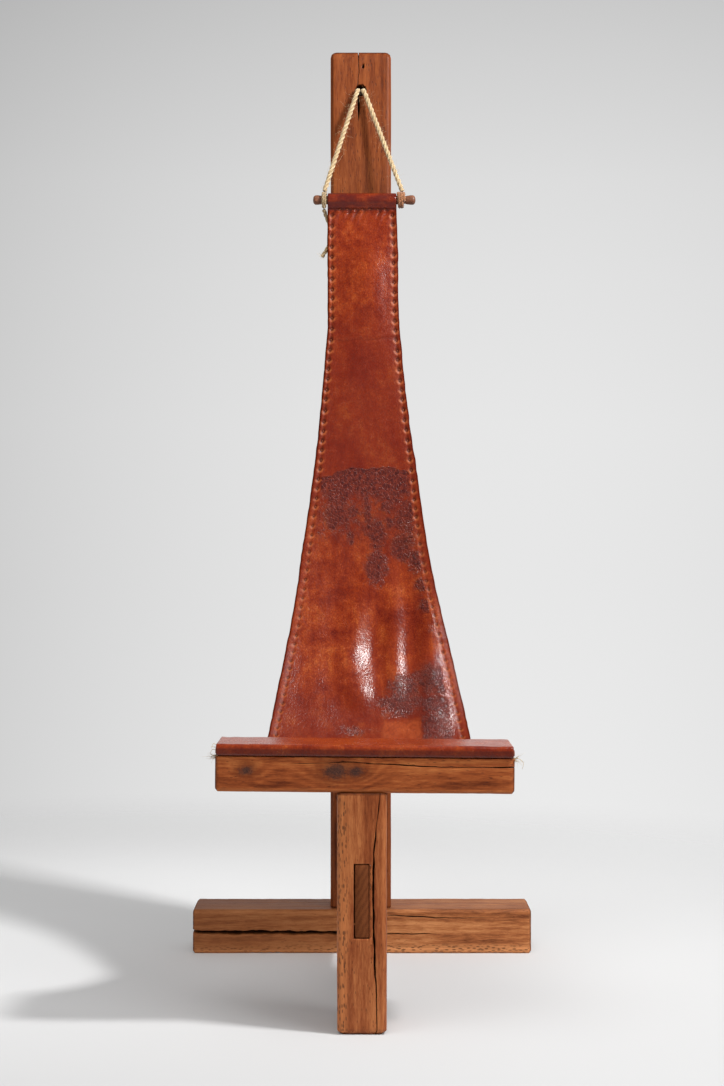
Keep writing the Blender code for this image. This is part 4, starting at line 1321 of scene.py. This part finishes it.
@cache
def sisal():
    s = Shader("sisal_rope")
    turned_place = s.attribute("lay", "Vector")
    fibres = s.noise(s.scaled(turned_place, (1, 0.10, 1)), 1700, 4, 0.65)
    clumps = s.noise(s.scaled(turned_place, (1, 0.25, 1)), 300, 3, 0.6)
    groove_shade = s.attribute("groove_shade")
    tone = s.vary(clumps, 0.5, fibres, clamp=True)
    colour = s.ramp(tone, ((0.22, (0.270, 0.175, 0.085)), (0.50, (0.500, 0.370, 0.205)),
                           (0.80, (0.720, 0.590, 0.380))))
    # Painted shade in the grooves between the strands.
    colour = s.tint(colour, groove_shade, 0.62, (0.260, 0.150, 0.060))
    stain = s.attribute("stain")
    colour = s.tint(colour, s.math("MINIMUM", stain, 1.0), 0.92, (0.125, 0.072, 0.026))
    colour = s.mix(s.step(stain, 1.0, 2.0), colour, s.ramp(clumps, ((0.3, (0.150, 0.050, 0.018)),
                                                                    (0.7, (0.330, 0.130, 0.050)))))
    s.bump(fibres, 0.0005, 1.0)
    s.set("Sheen Weight", 0.25)
    return s.finish(colour, 0.86)


def frames_along(line):
    """Tangent and two steady side directions at each point of a line."""
    tangent = unit(np.gradient(line, axis=0))
    sides = [unit(np.cross(tangent[0], (0.3, 0.2, 0.93)))]
    for here in tangent[1:]:
        sides.append(unit(sides[-1] - here * (sides[-1] @ here)))
    side = np.array(sides)
    return tangent, side, np.cross(tangent, side)


def laid_rope(name, guides, radius, lay=0.027, stain=0.0, samples=16, blunt=False, seed=1):
    """A laid rope as one skin with a lobe for each strand; returns the object and its middle line."""
    line = resampled(smooth_curve(guides, samples), spacing=0.0009 * radius / 0.004)
    tangent, side, other = frames_along(line)
    along = travelled(line)
    columns = 36
    angle = np.linspace(0, 2 * np.pi, columns, endpoint=False)
    twist = 2 * np.pi * along / lay
    phase = (angle[None, :] - twist[:, None]) * ROPE_STRANDS / 2
    nearest = np.arctan2(np.sin(2 * phase), np.cos(2 * phase)) / ROPE_STRANDS
    offset, thick = 0.52, 0.48
    lobe = offset * np.cos(nearest) + np.sqrt(np.clip(thick ** 2 - (offset * np.sin(nearest)) ** 2, 0.0, 1))
    lobe = np.maximum(lobe, 0.70)
    wobble = noise_over(np.cos(angle)[None, :], np.sin(angle)[None, :], along[:, None] * 400, 1.0, seed, 2)
    taper = np.ones(len(line))
    if blunt:
        for gap in (along, along[-1] - along):
            taper *= np.sqrt(np.clip(1 - (1 - np.clip(gap / (1.2 * radius), 0, 1)) ** 2, 0.06, 1))
    size = radius * lobe * (1 + 0.05 * wobble) * taper[:, None]
    grid = line[:, None, :] + size[..., None] * (side[:, None, :] * np.cos(angle)[None, :, None]
                                                 + other[:, None, :] * np.sin(angle)[None, :, None])
    thing = tube_object(name, grid, sisal())
    turned_angle = angle[None, :] - twist[:, None]
    lay_place = np.stack([radius * np.cos(turned_angle), along[:, None] + angle[None, :] * 0,
                          radius * np.sin(turned_angle)], -1)
    add_values(thing.data, "lay", lay_place, "FLOAT_VECTOR")
    add_values(thing.data, "groove_shade", ease(lobe, 0.86, 0.71))
    add_values(thing.data, "stain", np.full(grid.shape[:2], stain))
    return thing, line


def whiskers(name, line, radius, count, length, thickness=0.00016, seed=1, spread=1.0):
    """Loose fibres that stand off a rope, as one mesh of thin bent prisms."""
    chance = np.random.default_rng(seed)
    tangent, side, other = frames_along(line)
    shapes = []
    for _ in range(count):
        index = chance.integers(2, len(line) - 2)
        angle = chance.uniform(0, 2 * math.pi)
        out = side[index] * math.cos(angle) + other[index] * math.sin(angle)
        lean = tangent[index] * chance.uniform(-1.6, 1.6) * spread
        way = unit(out + lean + chance.normal(0, 0.25, 3))
        reach = length * chance.uniform(0.35, 1.0) * (0.4 if way[1] > 0.1 else 1.0)
        curl = chance.normal(0, 0.5, 3) * reach
        start = line[index] + out * radius * 0.85
        points = [start + way * reach * t + curl * t * t for t in np.linspace(0, 1, 5)]
        shapes.append(prism(np.array(points), thickness * chance.uniform(0.6, 1.2)))
    return joined_mesh(name, shapes, fibre_material())


def prism(line, thickness):
    """A thin square fibre that tapers towards its end."""
    sides = 4
    _, side, other = frames_along(line)
    rows = []
    for index in range(len(line)):
        girth = thickness * (1 - 0.6 * index / (len(line) - 1))
        for corner in range(sides):
            angle = 2 * math.pi * corner / sides
            out = side[index] * math.cos(angle) + other[index] * math.sin(angle)
            rows.append(line[index] + girth * out)
    return np.array(rows), capped_faces(len(line), sides)


@cache
def fibre_material():
    s = Shader("loose_fibre")
    colour = s.ramp(s.noise(s.place, 300, 2), ((0.3, (0.400, 0.280, 0.150)), (0.7, (0.660, 0.540, 0.350))))
    return s.finish(colour, 0.8)


def circle_turns(x_start, x_end, radius, turns, start_angle):
    """A helix round the toggle rod, from one place along it to another."""
    count = int(turns * 20) + 1
    made = []
    for index in range(count):
        share = index / (count - 1)
        angle = math.radians(start_angle) + 2 * math.pi * turns * share
        made.append((x_start + (x_end - x_start) * share, TOGGLE_CENTRE.y + radius * math.cos(angle),
                     TOGGLE_CENTRE.z + radius * math.sin(angle)))
    return made


def build_rope():
    wrap_radius = 0.0029
    ring = TOGGLE_RADIUS + wrap_radius * 1.06
    landing = TOGGLE_CENTRE.z + TOGGLE_RADIUS + 2 * wrap_radius + 4 * GAP
    for side, end_x, label in ((-1, WRAP_LEFT_X + 0.001, "left"), (1, WRAP_RIGHT_X + 0.002, "right")):
        start = ROPE_HOLE + Vector((side * 0.0042, 0.0030, 0.0))
        bend = ROPE_HOLE + Vector((side * 0.0062, -0.0060, -0.0050))
        foot = Vector((end_x, TOGGLE_CENTRE.y, landing))
        guides = [start, bend]
        for share in (0.15, 0.4, 0.7):
            guides.append(bend.lerp(foot, share))
        guides.append(foot)
        strand, line = laid_rope("rope_" + label, guides, ROPE_RADIUS, seed=3 + side)
        fuzz = whiskers("rope_fuzz_" + label, line[16:], ROPE_RADIUS, 240, 0.012, 0.00010, seed=13 + side)
        for piece in (strand, fuzz):
            assign(piece, "bail")
        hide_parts("rope_strand_" + label)

    left_turns = circle_turns(WRAP_LEFT_X + 0.0025, WRAP_LEFT_X - 0.0015, ring, 1.45, 60)
    left_turns += [(WRAP_LEFT_X + 0.0005, TOGGLE_CENTRE.y - 0.0040, TOGGLE_CENTRE.z - 0.0150)]
    left_wrap, _ = laid_rope("rope_turn_left", left_turns, wrap_radius, lay=0.020, samples=4, blunt=True,
                                stain=0.60, seed=9)
    right_turns = circle_turns(WRAP_RIGHT_X - 0.0048, WRAP_RIGHT_X + 0.0052, ring, 2.4, 60)
    right_wrap, _ = laid_rope("rope_turn_right", right_turns, wrap_radius, lay=0.020, samples=4,
                                 blunt=True, stain=1.85, seed=10)
    for piece, node in ((left_wrap, "rope_wrap_left"), (right_wrap, "rope_wrap_right")):
        assign(piece, "bail", node)

    tail_top = TOGGLE_CENTRE.z - TOGGLE_RADIUS - 0.0058 - 7 * GAP
    y = TOGGLE_CENTRE.y
    tail_guides = [(WRAP_LEFT_X, y + 0.0020, tail_top), (WRAP_LEFT_X + 0.003, y + 0.0095, 1.236),
                   (WRAP_LEFT_X + 0.010, y + 0.0120, 1.217), (WRAP_LEFT_X + 0.012, y + 0.0105, 1.198),
                   (WRAP_LEFT_X + 0.006, y + 0.0060, 1.181), (WRAP_LEFT_X - 0.003, y + 0.0035, 1.166)]
    tail_radius = ROPE_RADIUS * 0.85
    tail, line = laid_rope("rope_end_tail", tail_guides, tail_radius, stain=0.15, seed=15)
    tuft = whiskers("rope_tail_tuft", np.concatenate([line[-6:]] * 2), tail_radius * 0.7, 40, 0.007,
                    seed=21, spread=2.0)
    for piece in (tail, tuft):
        assign(piece, "bail")
    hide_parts("rope_tail")
    build_knot()


def build_knot():
    """An overhand knot behind the post, with the two bights that come through the hole."""
    scale = 0.0046
    centre = Vector((POST_X, POST_BACK_Y + 0.0095, ROPE_HOLE.z))
    turns = []
    for index in range(49):
        t = 2 * math.pi * index / 48
        turns.append((centre.x + scale * (math.sin(t) + 2 * math.sin(2 * t)),
                      centre.y - scale * 0.95 * math.sin(3 * t),
                      centre.z + scale * (math.cos(t) - 2 * math.cos(2 * t))))
    knot, line = laid_rope("rope_knot_turns", turns, 0.0040, samples=4, stain=0.1, seed=31)
    fuzz = whiskers("rope_knot_fuzz", line, 0.0040, 50, 0.007, seed=33)
    pieces = [knot, fuzz]
    for side in (-1, 1):
        run = [(POST_X + side * 0.0043, POST_FRONT_Y + 0.0060, ROPE_HOLE.z),
               (POST_X + side * 0.0043, POST_FRONT_Y + 0.0300, ROPE_HOLE.z),
               (POST_X + side * 0.0046, POST_BACK_Y - 0.0060, ROPE_HOLE.z),
               (POST_X + side * 0.0070, POST_BACK_Y + 0.0070, ROPE_HOLE.z + side * 0.004)]
        inner, _ = laid_rope("rope_in_hole_" + ("left" if side < 0 else "right"), run, 0.0040, seed=35)
        pieces.append(inner)
    for piece in pieces:
        assign(piece, "frame")
    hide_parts("rope_knot")


# ---------------------------------------------------------------- toggle rod and hem cord

def build_toggle():
    """A whittled rod: rounded ends, a neck at each tie, faint knife facets."""
    s = Shader("whittled_rod")
    fibres = s.noise(s.scaled(s.place, (0.05, 1, 1)), 900, 4, 0.6)
    blotches = s.noise(s.place, 60, 3)
    tone = s.math("MULTIPLY_ADD", fibres, 0.55, s.times(blotches, 0.5))
    colour = s.ramp(tone, ((0.25, (0.055, 0.016, 0.007)), (0.52, (0.150, 0.052, 0.024)),
                           (0.80, (0.260, 0.110, 0.055))))
    s.bump(fibres, 0.0004, 0.8)
    surface = s.finish(colour, 0.46)
    low, high = TOGGLE[0][0], TOGGLE[1][0]
    x = np.concatenate([low + 0.005 * (1 - np.cos(np.linspace(0, np.pi / 2, 9))),
                        np.linspace(low + 0.0055, high - 0.0055, int((high - low) / 0.0016)),
                        high - 0.005 * (1 - np.cos(np.linspace(np.pi / 2, 0, 9)))])
    from_end = np.minimum(x - low, high - x)
    dome = np.sqrt(np.clip(1 - (1 - np.clip(from_end / 0.005, 0, 1)) ** 2, 0.0004, 1))
    radius = TOGGLE_RADIUS * dome ** 0.8
    for middle in (WRAP_LEFT_X, WRAP_RIGHT_X + 0.006):
        radius = radius - 0.0013 * bell(x - middle, 0.0035)
    columns = 40
    angle = np.linspace(0, 2 * np.pi, columns, endpoint=False)
    facets = 0.00022 * np.cos(7 * angle)[None, :] * ease(from_end, 0.0, 0.01)[:, None]
    points = np.zeros((len(x), columns, 3))
    points[..., 0] = x[:, None]
    tied = ease(np.abs(x - TOGGLE_CENTRE.x), 0.0770, 0.0740)
    size = (radius - 0.0005 * tied)[:, None] + facets * (1 - 0.5 * tied)[:, None] - 0.0001
    points[..., 1] = TOGGLE_CENTRE.y + size * np.cos(angle)
    points[..., 2] = TOGGLE_CENTRE.z + size * np.sin(angle)
    knife = noise(points, (0.012, 0.006, 0.006), 77, 2) * 0.00016
    points[..., 1] += knife * np.cos(angle)
    points[..., 2] += knife * np.sin(angle)
    rod = tube_object("toggle_stick", points, surface)
    assign(rod, "toggle", "toggle_rod")


def build_hem_cord():
    half = BEAM_LENGTH / 2
    y = FRONT_Y + KEYWAY_DEPTH
    z = BEAM_TOP - KEYWAY_DROP
    x = BEAM_CENTRE.x
    guides = [(x + half * share, y, z) for share in (-1.006, -0.6, -0.2, 0.2, 0.6, 1.006)]
    cord, line = laid_rope("hem_cord_laid", guides, HEM_CORD_RADIUS, lay=0.018, stain=0.3, seed=41)
    rolled(cord)
    pieces = [cord]
    for side, name in ((0, "left"), (-1, "right")):
        end = line[side]
        out = np.array([-1.0 if side == 0 else 1.0, 0, 0])
        stub = np.array([end + out * 0.0002 * step for step in range(6)])
        stub[:, 1] -= 0.004
        tuft = whiskers("hem_cord_fray_" + name, stub, HEM_CORD_RADIUS * 0.9, 46, 0.011, 0.00020,
                        seed=43 + side, spread=2.5)
        pieces.append(rolled(tuft))
    loop = [(x + half - 0.002, y - 0.004, z + 0.001), (x + half + 0.006, y - 0.006, z + 0.0015),
            (x + half + 0.0125, y - 0.008, z - 0.004), (x + half + 0.0110, y - 0.009, z - 0.0125)]
    strays = [prism(smooth_curve(loop, 10), 0.00055)]
    for height, reach, drop in ((0.010, 0.007, 0.004), (0.014, 0.006, -0.002), (0.018, 0.005, 0.005)):
        stray = [(x - half + 0.002, FRONT_Y + 0.006, z + height), (x - half - reach * 0.6, FRONT_Y + 0.004,
                 z + height + 0.001), (x - half - reach, FRONT_Y + 0.002, z + height - drop)]
        strays.append(prism(smooth_curve(stray, 8), 0.00045))
    pieces.append(rolled(joined_mesh("hem_cord_strays", strays, fibre_material())))
    for piece in pieces:
        assign(piece, "frame")
    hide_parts("hem_cord")


# ---------------------------------------------------------------- stage, light and camera

def build_stage():
    """A pale floor that fades out into the pale surround."""
    bpy.ops.mesh.primitive_circle_add(vertices=96, radius=6, fill_type="NGON")
    floor = bpy.context.object
    floor.name = "studio_floor"
    material = bpy.data.materials.new("studio_floor")
    material.use_nodes = True
    tree = material.node_tree
    tree.nodes.remove(tree.nodes["Principled BSDF"])
    s = Nodes(tree)
    away = s.vector_math("DISTANCE", s.place, (-0.40, 0.30, 0.0))
    share = s.span(away, (0.70, 2.1))
    x, y, _ = s.parts(s.place)
    # Painted shade and light: the floor is darker towards the key lamp at the right front and paler to the
    # left and back, cancelling the lamp's falloff.
    falloff_cancelling_tone = s.span(s.math("MULTIPLY_ADD", x, -0.45, y), (-0.9, 1.5), (0.53, 1.0))
    tone = s.node("ShaderNodeCombineColor", 0, {"Red": falloff_cancelling_tone, "Green": falloff_cancelling_tone, "Blue": falloff_cancelling_tone})
    solid = s.node("ShaderNodeBsdfDiffuse", 0, {"Color": tone})
    clear = s.node("ShaderNodeBsdfTransparent")
    faded = s.node("ShaderNodeMixShader", 0, {0: share, 1: solid, 2: clear})
    s.feed(tree.nodes["Material Output"].inputs["Surface"], faded)
    floor.data.materials.append(material)
    floor.location.z = -0.0002


def build_world():
    """Soft studio surround: palest at the floor, greyer upwards and to the left, dim behind the viewer."""
    world = bpy.data.worlds.new("studio")
    bpy.context.scene.world = world
    world.use_nodes = True
    s = Nodes(world.node_tree, "Generated")
    x, y, z = s.parts(s.place)
    height = s.span(z, (-0.30, 0.30), interpolation="LINEAR")
    greys = ((0.0, 0.875), (0.12, 0.86), (0.30, 0.825), (0.46, 0.80), (0.60, 0.795), (0.72, 0.76),
             (0.80, 0.725), (0.90, 0.635), (1.0, 0.53))
    colour = s.ramp(height, [(place, (grey, grey, grey)) for place, grey in greys])
    aside = s.math("SUBTRACT", x, 0.08)
    fall = s.math("MULTIPLY_ADD", s.times(aside, aside), -3.1, 1.0)
    ahead = s.span(y, (-0.35, 0.85), (0.33, 1.0))
    background = s.tree.nodes["Background"]
    s.feed(background.inputs["Color"], colour)
    s.feed(background.inputs["Strength"], s.times(s.math("MAXIMUM", fall, 0.62), ahead))


def add_light(name, place, target, size, power, glossy=True):
    data = bpy.data.lights.new(name, "AREA")
    data.shape = "SQUARE"
    data.size = size
    data.energy = power
    lamp = bpy.data.objects.new(name, data)
    bpy.context.collection.objects.link(lamp)
    lamp.location = place
    lamp.rotation_euler = (Vector(target) - Vector(place)).to_track_quat("-Z", "Y").to_euler()
    lamp.visible_glossy = glossy


def build_lights():
    add_light("key_softbox", (1.15, -0.76, 2.12), (0.0, 0.0, 0.5), 0.24, 47)
    add_light("right_fill", (2.6, -2.3, 1.5), (0.0, 0.0, 0.6), 1.6, 38, False)
    add_light("right_sheen", (2.5, -2.3, 1.5), (0.0, 0.0, 0.7), 2.2, 18)
    add_light("left_fill", (-2.3, -2.6, 1.5), (0.0, 0.0, 0.5), 2.2, 16, False)
    add_light("camera_fill", (-0.5, -3.5, 1.2), (0.0, 0.0, 0.5), 1.6, 27, False)
    add_light("top_fill", (-0.7, -1.0, 2.9), (0.0, 0.0, 0.3), 2.0, 30, False)


def build_camera():
    data = bpy.data.cameras.new("camera")
    data.lens = 65.1
    camera = bpy.data.objects.new("camera", data)
    bpy.context.collection.objects.link(camera)
    camera.location = (0.0, FRONT_Y - 2.75, 0.689)
    camera.rotation_euler = (math.radians(90), 0, 0)
    bpy.context.scene.camera = camera


def main():
    build_camera()
    build_world()
    build_lights()
    build_stage()
    hide = Hide()
    build_rope()
    build_post()
    build_leg()
    build_seat_beam()
    build_crossbeam()
    build_stretcher()
    build_pegs()
    build_sling(hide)
    build_edge_lacing(hide, -1, "edge_stitches_left", "edge_lacing_left")
    build_edge_lacing(hide, 1, "edge_stitches_right", "edge_lacing_right")
    build_sleeve_stitching(hide)
    build_toggle()
    build_hem_cord()
    bpy.context.scene.view_settings.view_transform = "Standard"


main()
